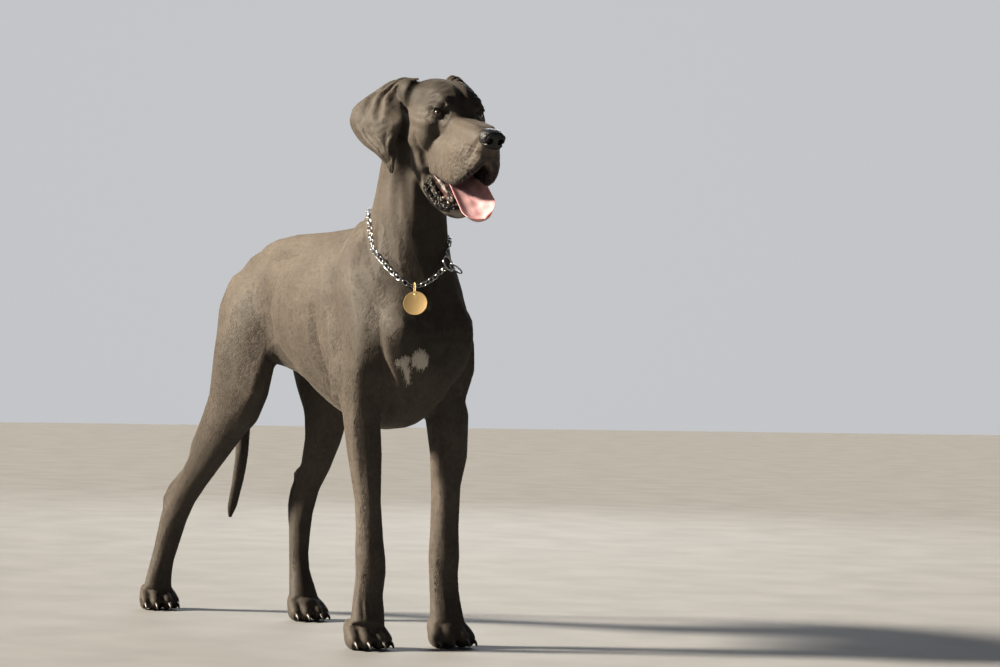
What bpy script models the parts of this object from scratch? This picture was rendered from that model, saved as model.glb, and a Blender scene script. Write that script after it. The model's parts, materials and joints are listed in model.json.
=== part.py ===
# A great dane standing, life size, as a still museum model.
#
# The dog faces -Y, its left is +X, up is +Z, metres. The body is first shaped
# whole, from lofted limbs, trunk, neck and head, fused by a voxel remesh, and
# then parted into its named nodes by thin cuts. What it wears (a chain collar
# with two rings and a round tag) is modelled on the finished neck.

import bpy
import bmesh
import math
import numpy as np
from mathutils import Vector, Matrix
from mathutils.bvhtree import BVHTree

for ob in list(bpy.data.objects):
    bpy.data.objects.remove(ob, do_unlink=True)

# ------------------------------------------------------------ named sizes
WITHERS = 0.835          # height at the withers
GAP = 0.0003             # left between two parted pieces
VOXEL = 0.0050           # grain of the fused body
BODY_TRIS = 2880         # triangles left on the body behind the head
HEAD_TRIS = 980          # and on the head and lower jaw

EYE_MID = (0.005, 0.175, 1.0215)   # x, ahead, up: midway between the eyes
HEAD_YAW = math.radians(-4.0)      # + turns to the dog's left
HEAD_PITCH = math.radians(12.0)    # + drops the nose
EYE_SPACING = 0.086
EYE_R = 0.0128
MUZZLE = 0.165                     # eyes to nose tip
SKULL = 0.165                      # eyes to occiput

FORE_X = 0.090           # fore legs either side of the middle
TAG_R = 0.0232
CHAIN_R = 0.0038
RING_R = 0.0150
RING_WIRE = 0.0018

parts = bpy.data.collections.new("great_dane")
cutters = bpy.data.collections.new("cutters")
bpy.context.scene.collection.children.link(parts)
bpy.context.scene.collection.children.link(cutters)


# ------------------------------------------------------------ materials
def material(name, colour, rough, metal=0.0):
    m = bpy.data.materials.new(name)
    m.use_nodes = True
    b = m.node_tree.nodes["Principled BSDF"]
    b.inputs["Base Color"].default_value = (*colour, 1.0)
    b.inputs["Roughness"].default_value = rough
    b.inputs["Metallic"].default_value = metal
    return m


COAT = (0.105, 0.088, 0.075)


# ------------------------------------------------------------ loft tools
def at(x, u, z):
    """x to the dog's left, u ahead, z up -> scene point"""
    return Vector((x, -u, z))


def head_matrix():
    return (Matrix.Translation(at(*EYE_MID)) @ Matrix.Rotation(HEAD_YAW, 4, "Z")
            @ Matrix.Rotation(HEAD_PITCH, 4, "X"))


HEAD = head_matrix()


def smooth_rows(rows, steps):
    """cubic through the rows, spaced by the length of their path"""
    r = np.array(rows, float)
    if steps <= 1 or len(r) < 3:
        return r
    t = np.concatenate([[0], np.cumsum(np.linalg.norm(np.diff(r[:, :3], axis=0), axis=1) + 1e-6)])
    m = np.gradient(r, t, axis=0)
    out = []
    for i in range(len(r) - 1):
        h = t[i + 1] - t[i]
        for k in range(steps):
            s = k / steps
            out.append((2 * s**3 - 3 * s**2 + 1) * r[i] + (s**3 - 2 * s**2 + s) * h * m[i]
                       + (-2 * s**3 + 3 * s**2) * r[i + 1] + (s**3 - s**2) * h * m[i + 1])
    out.append(r[-1])
    return np.array(out)


def loft(bm, rows, sides=28, steps=4, power=2.0, matrix=None, tilt=0.0):
    """closed tube: each row is x, ahead, up, half width, half depth to the
    front (or top), half depth to the back (or underside)"""
    rows = smooth_rows(rows, steps)
    path = [Vector((p[0], -p[1], p[2])) for p in rows]
    rings = []
    for i, p in enumerate(path):
        t = (path[min(i + 1, len(path) - 1)] - path[max(i - 1, 0)]).normalized()
        s = Vector((math.cos(tilt), math.sin(tilt), 0))
        s = (s - t * s.dot(t)).normalized()
        n = t.cross(s).normalized()
        a, bf, bb = (max(v, 0.0005) for v in rows[i][3:6])
        ring = []
        for k in range(sides):
            ang = 2 * math.pi * k / sides
            c, d = math.cos(ang), math.sin(ang)
            c = math.copysign(abs(c) ** (2 / power), c)
            d = math.copysign(abs(d) ** (2 / power), d)
            q = p + s * a * c + n * (bf if d > 0 else bb) * d
            ring.append(q)
        rings.append(ring)
    vs = [[bm.verts.new(matrix @ q if matrix else q) for q in ring] for ring in rings]
    new = []
    for i in range(len(vs) - 1):
        for k in range(sides):
            j = (k + 1) % sides
            new.append(bm.faces.new((vs[i][k], vs[i][j], vs[i + 1][j], vs[i + 1][k])))
    new.append(bm.faces.new(list(reversed(vs[0]))))
    new.append(bm.faces.new(vs[-1]))
    bmesh.ops.recalc_face_normals(bm, faces=new)
    return vs


def blob(bm, centre, radii, matrix=None, turn=(0, 0, 0), grain=20):
    """ellipsoid; centre and radii are x, ahead, up"""
    c = Vector((centre[0], -centre[1], centre[2]))
    if matrix is None:
        matrix = Matrix.Identity(4)
    rot = (Matrix.Rotation(turn[2], 4, "Z") @ Matrix.Rotation(turn[1], 4, "Y")
           @ Matrix.Rotation(turn[0], 4, "X"))
    m = matrix @ Matrix.Translation(c) @ rot @ Matrix.Diagonal((radii[0], radii[1], radii[2], 1))
    bmesh.ops.create_uvsphere(bm, u_segments=grain, v_segments=grain * 3 // 5, radius=1.0, matrix=m)


def mirror_rows(rows, side):
    return [(r[0] * side, *r[1:]) for r in rows]


# ------------------------------------------------------------ the body
def trunk(bm):
    # ahead, top, underside, half width
    line = [(-0.712, 0.705, 0.620, 0.030),
            (-0.690, 0.734, 0.585, 0.060),
            (-0.645, 0.764, 0.556, 0.088),
            (-0.570, 0.790, 0.540, 0.102),
            (-0.490, 0.806, 0.530, 0.106),
            (-0.410, 0.811, 0.517, 0.109),
            (-0.330, 0.813, 0.498, 0.124),
            (-0.250, 0.817, 0.470, 0.136),
            (-0.170, 0.827, 0.438, 0.138),
            (-0.100, 0.834, 0.417, 0.133),
            (-0.030, 0.812, 0.413, 0.122),
            (0.040, 0.770, 0.428, 0.100),
            (0.090, 0.715, 0.470, 0.074),
            (0.128, 0.650, 0.535, 0.040)]
    loft(bm, [(0, u, (t + b) / 2, a, (t - b) / 2, (t - b) / 2) for u, t, b, a in line], sides=36)
    # long muscles of the back, either side of the spine
    for s in (-1, 1):
        loft(bm, [(s * 0.030, -0.62, 0.745, 0.030, 0.030, 0.03), (s * 0.042, -0.45, 0.770, 0.042, 0.036, 0.04),
                  (s * 0.045, -0.25, 0.775, 0.040, 0.036, 0.04), (s * 0.030, -0.12, 0.780, 0.030, 0.040, 0.04)])
    # breast bone and the muscles either side of it
    blob(bm, (0, 0.104, 0.60), (0.040, 0.034, 0.055))
    for s in (-1, 1):
        blob(bm, (s * 0.047, 0.078, 0.585), (0.048, 0.050, 0.085), turn=(0, s * 0.25, 0))


def neck(bm):
    # top to bottom: x, ahead, up, half width, half depth front, half depth back
    loft(bm, [(0.004, 0.040, 1.035, 0.046, 0.050, 0.046),
              (0.003, 0.014, 0.992, 0.054, 0.068, 0.060),
              (0.002, -0.006, 0.940, 0.057, 0.077, 0.072),
              (0.001, -0.010, 0.885, 0.060, 0.084, 0.082),
              (0.000, -0.014, 0.832, 0.066, 0.094, 0.094),
              (0.000, -0.022, 0.780, 0.077, 0.108, 0.112),
              (0.000, -0.032, 0.725, 0.090, 0.120, 0.130),
              (0.000, -0.040, 0.660, 0.098, 0.128, 0.130)], sides=32)
    # crest running down into the withers
    loft(bm, [(0.002, -0.030, 0.99, 0.020, 0.03, 0.026), (0.002, -0.058, 0.92, 0.022, 0.03, 0.028),
              (0.001, -0.085, 0.860, 0.028, 0.04, 0.033), (0.0, -0.140, 0.805, 0.036, 0.05, 0.036)])
    # band of muscle down each side, from behind the ear to the breast bone
    for s in (-1, 1):
        loft(bm, [(s * 0.044, 0.018, 0.985, 0.016, 0.026, 0.026), (s * 0.046, 0.024, 0.900, 0.018, 0.028, 0.028),
                  (s * 0.045, 0.038, 0.810, 0.021, 0.030, 0.030), (s * 0.037, 0.058, 0.720, 0.024, 0.030, 0.030),
                  (s * 0.022, 0.076, 0.650, 0.020, 0.026, 0.026)])


def shoulder(bm, s):
    # blade, down to the point of the shoulder, and back to the elbow
    loft(bm, mirror_rows([(0.036, -0.120, 0.815, 0.018, 0.040, 0.040),
                          (0.062, -0.095, 0.765, 0.030, 0.060, 0.060),
                          (0.082, -0.050, 0.705, 0.041, 0.068, 0.064),
                          (0.088, -0.012, 0.640, 0.044, 0.064, 0.064),
                          (0.090, 0.018, 0.590, 0.045, 0.052, 0.052)], s))
    blob(bm, (s * 0.088, 0.006, 0.595), (0.045, 0.058, 0.060))
    loft(bm, mirror_rows([(0.088, 0.026, 0.600, 0.044, 0.044, 0.060),
                          (0.090, 0.008, 0.545, 0.044, 0.050, 0.070),
                          (0.091, -0.010, 0.495, 0.040, 0.046, 0.066),
                          (0.090, -0.014, 0.445, 0.034, 0.040, 0.050)], s))
    blob(bm, (s * 0.092, -0.052, 0.53), (0.036, 0.052, 0.075), turn=(0.5, 0, 0))


# how each fore leg stands off the plumb line: up, x, ahead, added radius
LEAN = {-1: [(0.470, 0.000, 0.000, 0.0010), (0.380, 0.0045, 0.0025, 0.0010), (0.260, 0.0072, 0.0042, 0.0),
             (0.135, 0.0090, 0.0052, 0.0005), (0.070, 0.0040, 0.0020, 0.0), (0.045, 0.0, 0.0, 0.0)],
        1: [(0.470, 0.0050, 0.003, 0.0030), (0.380, 0.0055, 0.003, 0.0030), (0.260, 0.0025, 0.0015, 0.0025),
            (0.135, 0.0, 0.0, 0.0005), (0.070, 0.0, 0.0, 0.0), (0.045, 0.0, 0.0, 0.0)]}


def lean(s, z):
    rows = LEAN[s]
    for a, b in zip(rows[:-1], rows[1:]):
        if z >= b[0]:
            t = min(1.0, max(0.0, (a[0] - z) / (a[0] - b[0])))
            return [p + (q - p) * t for p, q in zip(a[1:], b[1:])]
    return rows[-1][1:]


def fore_leg(bm, s, foot):
    """upper arm end, forearm, wrist and pastern; foot is (x, ahead)"""
    x0, fx, fu = s * FORE_X, foot[0], foot[1]
    rows = [(x0, -0.010, 0.470, 0.034, 0.042, 0.056),
            (x0, -0.008, 0.430, 0.034, 0.040, 0.050),
            (x0, -0.002, 0.380, 0.031, 0.036, 0.040),
            (x0 * 0.98, 0.002, 0.320, 0.0268, 0.031, 0.031),
            (x0 * 0.97, 0.006, 0.260, 0.0262, 0.027, 0.027),
            (x0 * 0.96, 0.010, 0.205, 0.0282, 0.026, 0.026),
            (x0 * 0.95, 0.014, 0.170, 0.0300, 0.028, 0.028),
            ((x0 * .94 + fx) / 2, 0.016, 0.135, 0.0292, 0.024, 0.028),
            (fx, 0.019, 0.100, 0.0300, 0.022, 0.026),
            (fx, 0.026, 0.070, 0.0330, 0.024, 0.028),
            (fx, 0.034, 0.045, 0.0350, 0.026, 0.030)]
    off = [lean(s, r[2]) for r in rows]
    loft(bm, [(r[0] + o[0], r[1] + o[1], r[2], r[3] + o[2], r[4] + o[2], r[5] + o[2]) for r, o in zip(rows, off)],
         sides=24)
    # point of the elbow, and the pad behind the wrist
    loft(bm, [(x0, -0.050, 0.478, 0.012, 0.020, 0.014), (x0, -0.052, 0.452, 0.017, 0.024, 0.018),
              (x0, -0.040, 0.410, 0.017, 0.024, 0.016)], sides=16)
    o = lean(s, 0.145)
    blob(bm, (x0 * 0.96 + o[0], -0.014 + o[1], 0.145), (0.010, 0.010, 0.013))
    paw(bm, fx, fu, 0.0, 0.95)


def paw(bm, x, u, turn, size):
    """arched toes, their claws and the big pad; x, u is the middle of the foot"""
    m = Matrix.Translation(at(x, u, 0)) @ Matrix.Rotation(turn, 4, "Z")
    k = size
    for i, (px, lead) in enumerate(((-0.030, -0.012), (-0.0125, 0.0), (0.0125, 0.0), (0.030, -0.012))):
        splay = px * 0.30
        loft(bm, [(px * 0.75 * k, (-0.020 + lead) * k, 0.050 * k, 0.0105 * k, 0.012 * k, 0.024 * k),
                  (px * k, (0.006 + lead) * k, 0.041 * k, 0.0122 * k, 0.013 * k, 0.034 * k),
                  ((px + splay * 0.5) * k, (0.026 + lead) * k, 0.028 * k, 0.0128 * k, 0.013 * k, 0.031 * k),
                  ((px + splay * 0.8) * k, (0.040 + lead) * k, 0.017 * k, 0.0112 * k, 0.011 * k, 0.021 * k),
                  ((px + splay) * k, (0.046 + lead) * k, 0.013 * k, 0.0070 * k, 0.007 * k, 0.014 * k)],
             sides=14, matrix=m)
        # claw
        loft(bm, [((px + splay) * k, (0.042 + lead) * k, 0.0165 * k, 0.0048, 0.0048, 0.0048),
                  ((px + splay * 1.1) * k, (0.052 + lead) * k, 0.0130 * k, 0.0042, 0.0042, 0.0042),
                  ((px + splay * 1.2) * k, (0.060 + lead) * k, 0.0065 * k, 0.0028, 0.0028, 0.0028)],
             sides=10, matrix=m)
    blob(bm, (0, -0.022 * k, 0.016 * k), (0.030 * k, 0.022 * k, 0.020 * k), matrix=m)
    blob(bm, (0, -0.004 * k, 0.038 * k), (0.034 * k, 0.034 * k, 0.022 * k), matrix=m)


def tail(bm):
    loft(bm, [(0.000, -0.664, 0.728, 0.032, 0.030, 0.030),
              (0.000, -0.708, 0.712, 0.029, 0.028, 0.028),
              (0.000, -0.742, 0.680, 0.026, 0.025, 0.025),
              (0.002, -0.762, 0.635, 0.023, 0.023, 0.023),
              (0.004, -0.772, 0.580, 0.0205, 0.021, 0.021),
              (0.006, -0.765, 0.500, 0.0185, 0.0185, 0.0185),
              (0.006, -0.757, 0.420, 0.0165, 0.0165, 0.0165),
              (0.006, -0.762, 0.340, 0.0155, 0.0155, 0.0155),
              (0.006, -0.786, 0.265, 0.0130, 0.013, 0.013),
              (0.006, -0.809, 0.218, 0.0100, 0.010, 0.010),
              (0.006, -0.8165, 0.201, 0.0055, 0.0055, 0.0055)], sides=18)


def hind_leg(bm, rows, heel, foot, turn):
    """rows run from the hip down to the foot; heel is the point of the hock"""
    loft(bm, rows, sides=26)
    loft(bm, heel, sides=14)
    paw(bm, foot[0], foot[1], turn, 0.90)


def hind_right(bm):
    hind_leg(bm,
             [(-0.058, -0.600, 0.725, 0.040, 0.066, 0.060),
              (-0.074, -0.585, 0.665, 0.050, 0.102, 0.092),
              (-0.084, -0.565, 0.600, 0.055, 0.116, 0.100),
              (-0.092, -0.560, 0.535, 0.053, 0.112, 0.106),
              (-0.097, -0.570, 0.475, 0.050, 0.094, 0.098),
              (-0.102, -0.605, 0.425, 0.043, 0.064, 0.072),
              (-0.108, -0.646, 0.380, 0.038, 0.052, 0.054),
              (-0.112, -0.694, 0.335, 0.034, 0.045, 0.041),
              (-0.116, -0.742, 0.292, 0.0305, 0.039, 0.034),
              (-0.120, -0.788, 0.250, 0.0290, 0.039, 0.033),
              (-0.124, -0.816, 0.210, 0.0285, 0.036, 0.032),
              (-0.128, -0.833, 0.170, 0.0272, 0.032, 0.030),
              (-0.132, -0.846, 0.130, 0.0258, 0.028, 0.027),
              (-0.137, -0.853, 0.095, 0.0262, 0.026, 0.026),
              (-0.141, -0.855, 0.065, 0.0290, 0.024, 0.026),
              (-0.143, -0.855, 0.045, 0.0320, 0.024, 0.026)],
             [(-0.115, -0.742, 0.332, 0.007, 0.008, 0.008), (-0.117, -0.787, 0.298, 0.009, 0.011, 0.010),
              (-0.119, -0.832, 0.268, 0.0135, 0.016, 0.013), (-0.121, -0.853, 0.242, 0.0150, 0.022, 0.012),
              (-0.124, -0.855, 0.202, 0.0140, 0.018, 0.010)],
             (-0.143, -0.855), math.radians(-6))


def hind_left(bm):
    hind_leg(bm,
             [(0.058, -0.600, 0.725, 0.040, 0.066, 0.060),
              (0.072, -0.578, 0.665, 0.050, 0.104, 0.096),
              (0.079, -0.545, 0.600, 0.054, 0.118, 0.108),
              (0.080, -0.518, 0.535, 0.052, 0.112, 0.104),
              (0.078, -0.500, 0.475, 0.047, 0.088, 0.086),
              (0.075, -0.498, 0.425, 0.040, 0.068, 0.060),
              (0.072, -0.506, 0.380, 0.0345, 0.052, 0.046),
              (0.069, -0.524, 0.335, 0.030, 0.042, 0.038),
              (0.066, -0.549, 0.292, 0.0260, 0.034, 0.030),
              (0.064, -0.570, 0.250, 0.0250, 0.034, 0.028),
              (0.062, -0.578, 0.210, 0.0250, 0.031, 0.028),
              (0.061, -0.578, 0.170, 0.0235, 0.026, 0.026),
              (0.060, -0.575, 0.130, 0.0225, 0.023, 0.023),
              (0.060, -0.568, 0.095, 0.0240, 0.023, 0.024),
              (0.060, -0.555, 0.065, 0.0290, 0.024, 0.026),
              (0.060, -0.546, 0.045, 0.0320, 0.024, 0.026)],
             [(0.069, -0.566, 0.345, 0.007, 0.008, 0.008), (0.067, -0.595, 0.300, 0.009, 0.010, 0.010),
              (0.065, -0.612, 0.265, 0.0135, 0.015, 0.013), (0.063, -0.617, 0.235, 0.0150, 0.020, 0.012),
              (0.062, -0.603, 0.195, 0.0140, 0.018, 0.010)],
             (0.060, -0.536), 0.0)


# ------------------------------------------------------------ the head
# In the head's own frame: x to its left, ahead of the eyes, above the eyes.
def skull(bm):
    # occiput to brow
    loft(bm, [(0, -SKULL, 0.030, 0.018, 0.018, 0.030),
              (0, -0.150, 0.018, 0.040, 0.038, 0.055),
              (0, -0.115, 0.006, 0.058, 0.053, 0.070),
              (0, -0.075, -0.002, 0.066, 0.061, 0.075),
              (0, -0.045, -0.006, 0.066, 0.064, 0.075),
              (0, -0.020, -0.010, 0.057, 0.060, 0.068),
              (0, 0.000, -0.018, 0.045, 0.044, 0.052),
              (0, 0.020, -0.026, 0.034, 0.028, 0.040)], sides=28, matrix=HEAD, power=2.15)
    for s in (-1, 1):
        # brow, cheek and cheek bone
        blob(bm, (s * 0.030, -0.008, 0.026), (0.017, 0.020, 0.014), matrix=HEAD)
        blob(bm, (s * 0.048, -0.050, -0.040), (0.026, 0.048, 0.046), matrix=HEAD)
        blob(bm, (s * 0.047, -0.032, -0.014), (0.018, 0.040, 0.013), matrix=HEAD)
        # cheek down to the corner of the mouth
        loft(bm, [(s * 0.042, -0.062, -0.045, 0.020, 0.030, 0.030), (s * 0.044, -0.056, -0.085, 0.019, 0.032, 0.030),
                  (s * 0.044, -0.052, -0.118, 0.015, 0.028, 0.028)], sides=16, matrix=HEAD)
        # root of the ear
        blob(bm, (s * 0.056, -0.120, 0.018), (0.024, 0.034, 0.036), matrix=HEAD)


def muzzle(bm):
    loft(bm, [(0, -0.015, -0.044, 0.040, 0.038, 0.044),
              (0, 0.018, -0.037, 0.034, 0.036, 0.045),
              (0, 0.055, -0.036, 0.035, 0.035, 0.045),
              (0, 0.095, -0.036, 0.035, 0.035, 0.043),
              (0, 0.125, -0.037, 0.032, 0.034, 0.040),
              (0, 0.145, -0.040, 0.026, 0.028, 0.033),
              (0, 0.156, -0.044, 0.015, 0.018, 0.022)], sides=26, matrix=HEAD, power=2.6)
    # hanging upper lips
    for s in (-1, 1):
        loft(bm, [(s * 0.038, -0.030, -0.080, 0.010, 0.030, 0.026),
                  (s * 0.036, 0.010, -0.080, 0.011, 0.036, 0.038),
                  (s * 0.0345, 0.050, -0.080, 0.0115, 0.040, 0.045),
                  (s * 0.0325, 0.085, -0.078, 0.0120, 0.040, 0.045),
                  (s * 0.0275, 0.112, -0.072, 0.0125, 0.034, 0.036),
                  (s * 0.0185, 0.134, -0.064, 0.0120, 0.026, 0.024),
                  (s * 0.0080, 0.147, -0.056, 0.0110, 0.018, 0.014)], sides=18, matrix=HEAD, power=2.3)


def lower_jaw(bm):
    """dropped open; rows follow the bone from its joint to the chin"""
    loft(bm, [(0, -0.092, -0.072, 0.048, 0.030, 0.034),
              (0, -0.064, -0.106, 0.053, 0.028, 0.034),
              (0, -0.030, -0.134, 0.051, 0.022, 0.031),
              (0, 0.004, -0.155, 0.045, 0.016, 0.028),
              (0, 0.030, -0.168, 0.034, 0.013, 0.023),
              (0, 0.048, -0.175, 0.025, 0.011, 0.018),
              (0, 0.060, -0.178, 0.012, 0.007, 0.010)], sides=24, matrix=HEAD, power=2.3)


def throat(bm):
    loft(bm, [(0, -0.090, -0.050, 0.050, 0.05, 0.040),
              (0, -0.070, -0.090, 0.046, 0.04, 0.040),
              (0, -0.060, -0.130, 0.042, 0.04, 0.045)], sides=20, matrix=HEAD)


def nose_pad(bm, extra=0.0):
    e = extra
    loft(bm, [(0, 0.128 - e, -0.020, 0.0170 + e, 0.012 + e, 0.013 + e),
              (0, 0.142, -0.021, 0.0232 + e, 0.0170 + e, 0.017 + e),
              (0, 0.157, -0.0225, 0.0240 + e, 0.0185 + e, 0.019 + e),
              (0, 0.167, -0.024, 0.0192 + e, 0.0156 + e, 0.017 + e),
              (0, 0.1720 + e, -0.025, 0.0118 + e, 0.0088 + e, 0.011 + e)], sides=16, steps=1, matrix=HEAD, power=2.3)


TONGUE = [(0.000, -0.020, -0.106, 0.022, 0.0055, 0.0055),
          (0.000, 0.015, -0.114, 0.027, 0.0050, 0.0050),
          (0.000, 0.052, -0.124, 0.0320, 0.0045, 0.0045),
          (-0.001, 0.088, -0.140, 0.0345, 0.0045, 0.0045),
          (-0.002, 0.118, -0.155, 0.0352, 0.0045, 0.0045),
          (-0.003, 0.144, -0.168, 0.0335, 0.0050, 0.0050),
          (-0.003, 0.157, -0.1755, 0.0210, 0.0050, 0.0050)]
TONGUE_ROLL = math.radians(-24)


def tongue_loft(bm):
    """a flat strip that leans over to the right as it leaves the mouth"""
    vs = loft(bm, TONGUE, sides=12, steps=2, matrix=Matrix.Identity(4), power=2.4)
    rows = smooth_rows(TONGUE, 2)
    for ring, row in zip(vs, rows):
        c = Vector((row[0], -row[1], row[2]))
        k = min(1.0, max(0.0, (row[1] + 0.01) / 0.09))
        rot = Matrix.Rotation(TONGUE_ROLL * k, 3, "Y")
        for v in ring:
            d = v.co - c
            d.z += 0.010 * (d.x / 0.027) ** 2 * k - 0.003 * k   # cupped edges
            v.co = HEAD @ (c + rot @ d)


# Ear flaps: each row, from the root down to the tip, has a front edge and a
# rear edge in the head's frame, and the bulge of the flap between them.
EAR_RIGHT = [((-0.040, -0.112, 0.050), (-0.040, -0.150, 0.040), 0.002),
             ((-0.054, -0.120, 0.044), (-0.074, -0.170, 0.032), 0.006),
             ((-0.068, -0.122, 0.020), (-0.104, -0.193, 0.004), 0.010),
             ((-0.078, -0.096, -0.004), (-0.132, -0.203, -0.026), 0.013),
             ((-0.086, -0.068, -0.026), (-0.140, -0.188, -0.056), 0.014),
             ((-0.091, -0.070, -0.052), (-0.134, -0.142, -0.081), 0.012),
             ((-0.095, -0.066, -0.080), (-0.122, -0.090, -0.096), 0.008),
             ((-0.098, -0.054, -0.104), (-0.110, -0.072, -0.111), 0.003),
             ((-0.100, -0.053, -0.125), (-0.102, -0.057, -0.126), 0.000)]
EAR_LEFT = [((0.036, -0.114, 0.046), (0.032, -0.150, 0.048), 0.002),
            ((0.048, -0.118, 0.049), (0.043, -0.156, 0.056), 0.004),
            ((0.062, -0.106, 0.037), (0.066, -0.164, 0.038), 0.006),
            ((0.073, -0.088, 0.018), (0.088, -0.172, 0.008), 0.010),
            ((0.081, -0.072, -0.016), (0.104, -0.162, -0.034), 0.013),
            ((0.083, -0.066, -0.050), (0.104, -0.140, -0.068), 0.010),
            ((0.085, -0.061, -0.082), (0.098, -0.104, -0.094), 0.006),
            ((0.087, -0.057, -0.106), (0.092, -0.072, -0.110), 0.002),
            ((0.088, -0.055, -0.120), (0.089, -0.058, -0.121), 0.000)]


def ear_sheet(side, thick=0.0055, across=5, steps=2):
    """closed sheet; side -1 is the dog's right"""
    rows = EAR_RIGHT if side < 0 else EAR_LEFT
    flat = smooth_rows([(*a, *b, k) for a, b, k in rows], steps)
    bm = bmesh.new()
    outer, inner = [], []
    mids = [(Vector(r[0:3]) + Vector(r[3:6])) / 2 for r in flat]
    for i, r in enumerate(flat):
        a, b, k = Vector(r[0:3]), Vector(r[3:6]), r[6]
        run = mids[min(i + 1, len(mids) - 1)] - mids[max(i - 1, 0)]
        wide = Vector(flat[min(i, len(flat) - 4)][3:6]) - Vector(flat[min(i, len(flat) - 4)][0:3])
        n = wide.cross(run).normalized()
        if n.x * side * 0.6 + n.z * 0.8 < 0:
            n = -n
        th = thick * (1.0 if i < len(flat) - 3 else 0.75)
        ro, ri = [], []
        for j in range(across + 1):
            t = j / across
            p = a.lerp(b, t) + n * k * 4 * t * (1 - t)
            edge = 0.35 + 0.65 * min(1.0, 5 * t, 5 * (1 - t)) ** 0.5
            for lst, sgn in ((ro, 0.5), (ri, -0.5)):
                q = p + n * th * edge * sgn
                lst.append(bm.verts.new(HEAD @ Vector((q.x, -q.y, q.z))))
        outer.append(ro)
        inner.append(ri)
    for i in range(len(outer) - 1):
        for j in range(across):
            bm.faces.new((outer[i][j], outer[i][j + 1], outer[i + 1][j + 1], outer[i + 1][j]))
            bm.faces.new((inner[i][j], inner[i + 1][j], inner[i + 1][j + 1], inner[i][j + 1]))
        for j in (0, across):
            bm.faces.new((outer[i][j], outer[i + 1][j], inner[i + 1][j], inner[i][j]))
    for i in (0, len(outer) - 1):
        for j in range(across):
            bm.faces.new((outer[i][j], inner[i][j], inner[i][j + 1], outer[i][j + 1]))
    bmesh.ops.recalc_face_normals(bm, faces=bm.faces)
    if bm.calc_volume(signed=True) < 0:
        bmesh.ops.reverse_faces(bm, faces=bm.faces)
    return bm


def whole_body():
    bm = bmesh.new()
    trunk(bm)
    neck(bm)
    for s in (-1, 1):
        shoulder(bm, s)
    fore_leg(bm, -1, (-0.0880, 0.026))
    fore_leg(bm, 1, (0.0880, 0.038))
    hind_right(bm)
    hind_left(bm)
    tail(bm)
    skull(bm)
    muzzle(bm)
    lower_jaw(bm)
    throat(bm)
    me = bpy.data.meshes.new("whole")
    bm.to_mesh(me)
    bm.free()
    ob = bpy.data.objects.new("whole", me)
    cutters.objects.link(ob)
    ob.hide_render = True
    ob.display_type = "WIRE"
    r = ob.modifiers.new("fuse", "REMESH")
    r.mode = "VOXEL"
    r.voxel_size = VOXEL
    return ob


def evaluated(ob):
    bpy.context.view_layer.update()
    dg = bpy.context.evaluated_depsgraph_get()
    return bpy.data.meshes.new_from_object(ob.evaluated_get(dg))


# ------------------------------------------------------------ softening
def coords(me):
    v = np.empty(len(me.vertices) * 3)
    me.vertices.foreach_get("co", v)
    return v.reshape(-1, 3)


def fade(x, lo, hi):
    t = np.clip((x - lo) / (hi - lo), 0, 1)
    return t * t * (3 - 2 * t)


def to_head(v):
    inv = np.array(HEAD.inverted())
    w = v @ inv[:3, :3].T + inv[:3, 3]
    return np.stack([w[:, 0], -w[:, 1], w[:, 2]], 1)   # x, ahead, up


def soft_weight(v):
    """how far each place may be smoothed: most on the trunk and haunches"""
    u = -v[:, 1]
    z = v[:, 2]
    w = 0.12 + 0.33 * fade(z, 0.07, 0.14) + 0.55 * fade(z, 0.30, 0.46)
    tailzone = fade(-u, 0.715, 0.735) * (1 - fade(z, 0.66, 0.72)) * fade(z, 0.15, 0.20)
    w = w * (1 - 0.75 * tailzone)
    h = to_head(v)
    inhead = fade(h[:, 1], -0.09, -0.02) * fade(h[:, 2], -0.25, -0.21)
    return w * (1 - inhead) + 0.30 * inhead


def soften(me, rounds):
    v = coords(me)
    e = np.empty(len(me.edges) * 2, dtype=np.int64)
    me.edges.foreach_get("vertices", e)
    e = e.reshape(-1, 2)
    n = len(v)
    deg = np.bincount(e.ravel(), minlength=n).astype(float)[:, None]
    w = soft_weight(v)[:, None]
    for i in range(rounds):
        lam = 0.55 if i % 2 == 0 or i < rounds // 2 else -0.35
        s = np.stack([np.bincount(e[:, 0], v[e[:, 1], k], n) + np.bincount(e[:, 1], v[e[:, 0], k], n)
                      for k in range(3)], 1) / deg
        v = v + w * lam * (s - v)
    me.vertices.foreach_set("co", v.ravel())
    me.update()


def push(me, spots):
    """each spot: centre, radius, and the move at its middle, in the head's frame"""
    v = coords(me)
    for c, r, d in spots:
        c = np.array(HEAD @ Vector((c[0], -c[1], c[2])))
        d = np.array(HEAD.to_3x3() @ Vector((d[0], -d[1], d[2])))
        q = np.linalg.norm(v - c, axis=1) / r
        k = np.where(q < 1, (1 - np.minimum(q, 1) ** 2) ** 2, 0)
        v = v + k[:, None] * d
    me.vertices.foreach_set("co", v.ravel())
    me.update()


EYE_AT = (0.0388, -0.0078, 0.0)      # middle of the left eyeball, head frame
ORBITS = [((s * 0.046, 0.004, -0.002), 0.024, (s * -0.004, -0.007, 0.0)) for s in (-1, 1)]

# ------------------------------------------------------------ part the body
def mesh_object(name, bm, where=None):
    me = bpy.data.meshes.new(name)
    bm.to_mesh(me)
    bm.free()
    ob = bpy.data.objects.new(name, me)
    (where or parts).objects.link(ob)
    if where == cutters:
        ob.hide_render = True
        ob.display_type = "WIRE"
    return ob


def bake(ob):
    """put what the modifiers make in the object's own mesh"""
    me = evaluated(ob)
    ob.modifiers.clear()
    ob.data = me
    return ob


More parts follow.
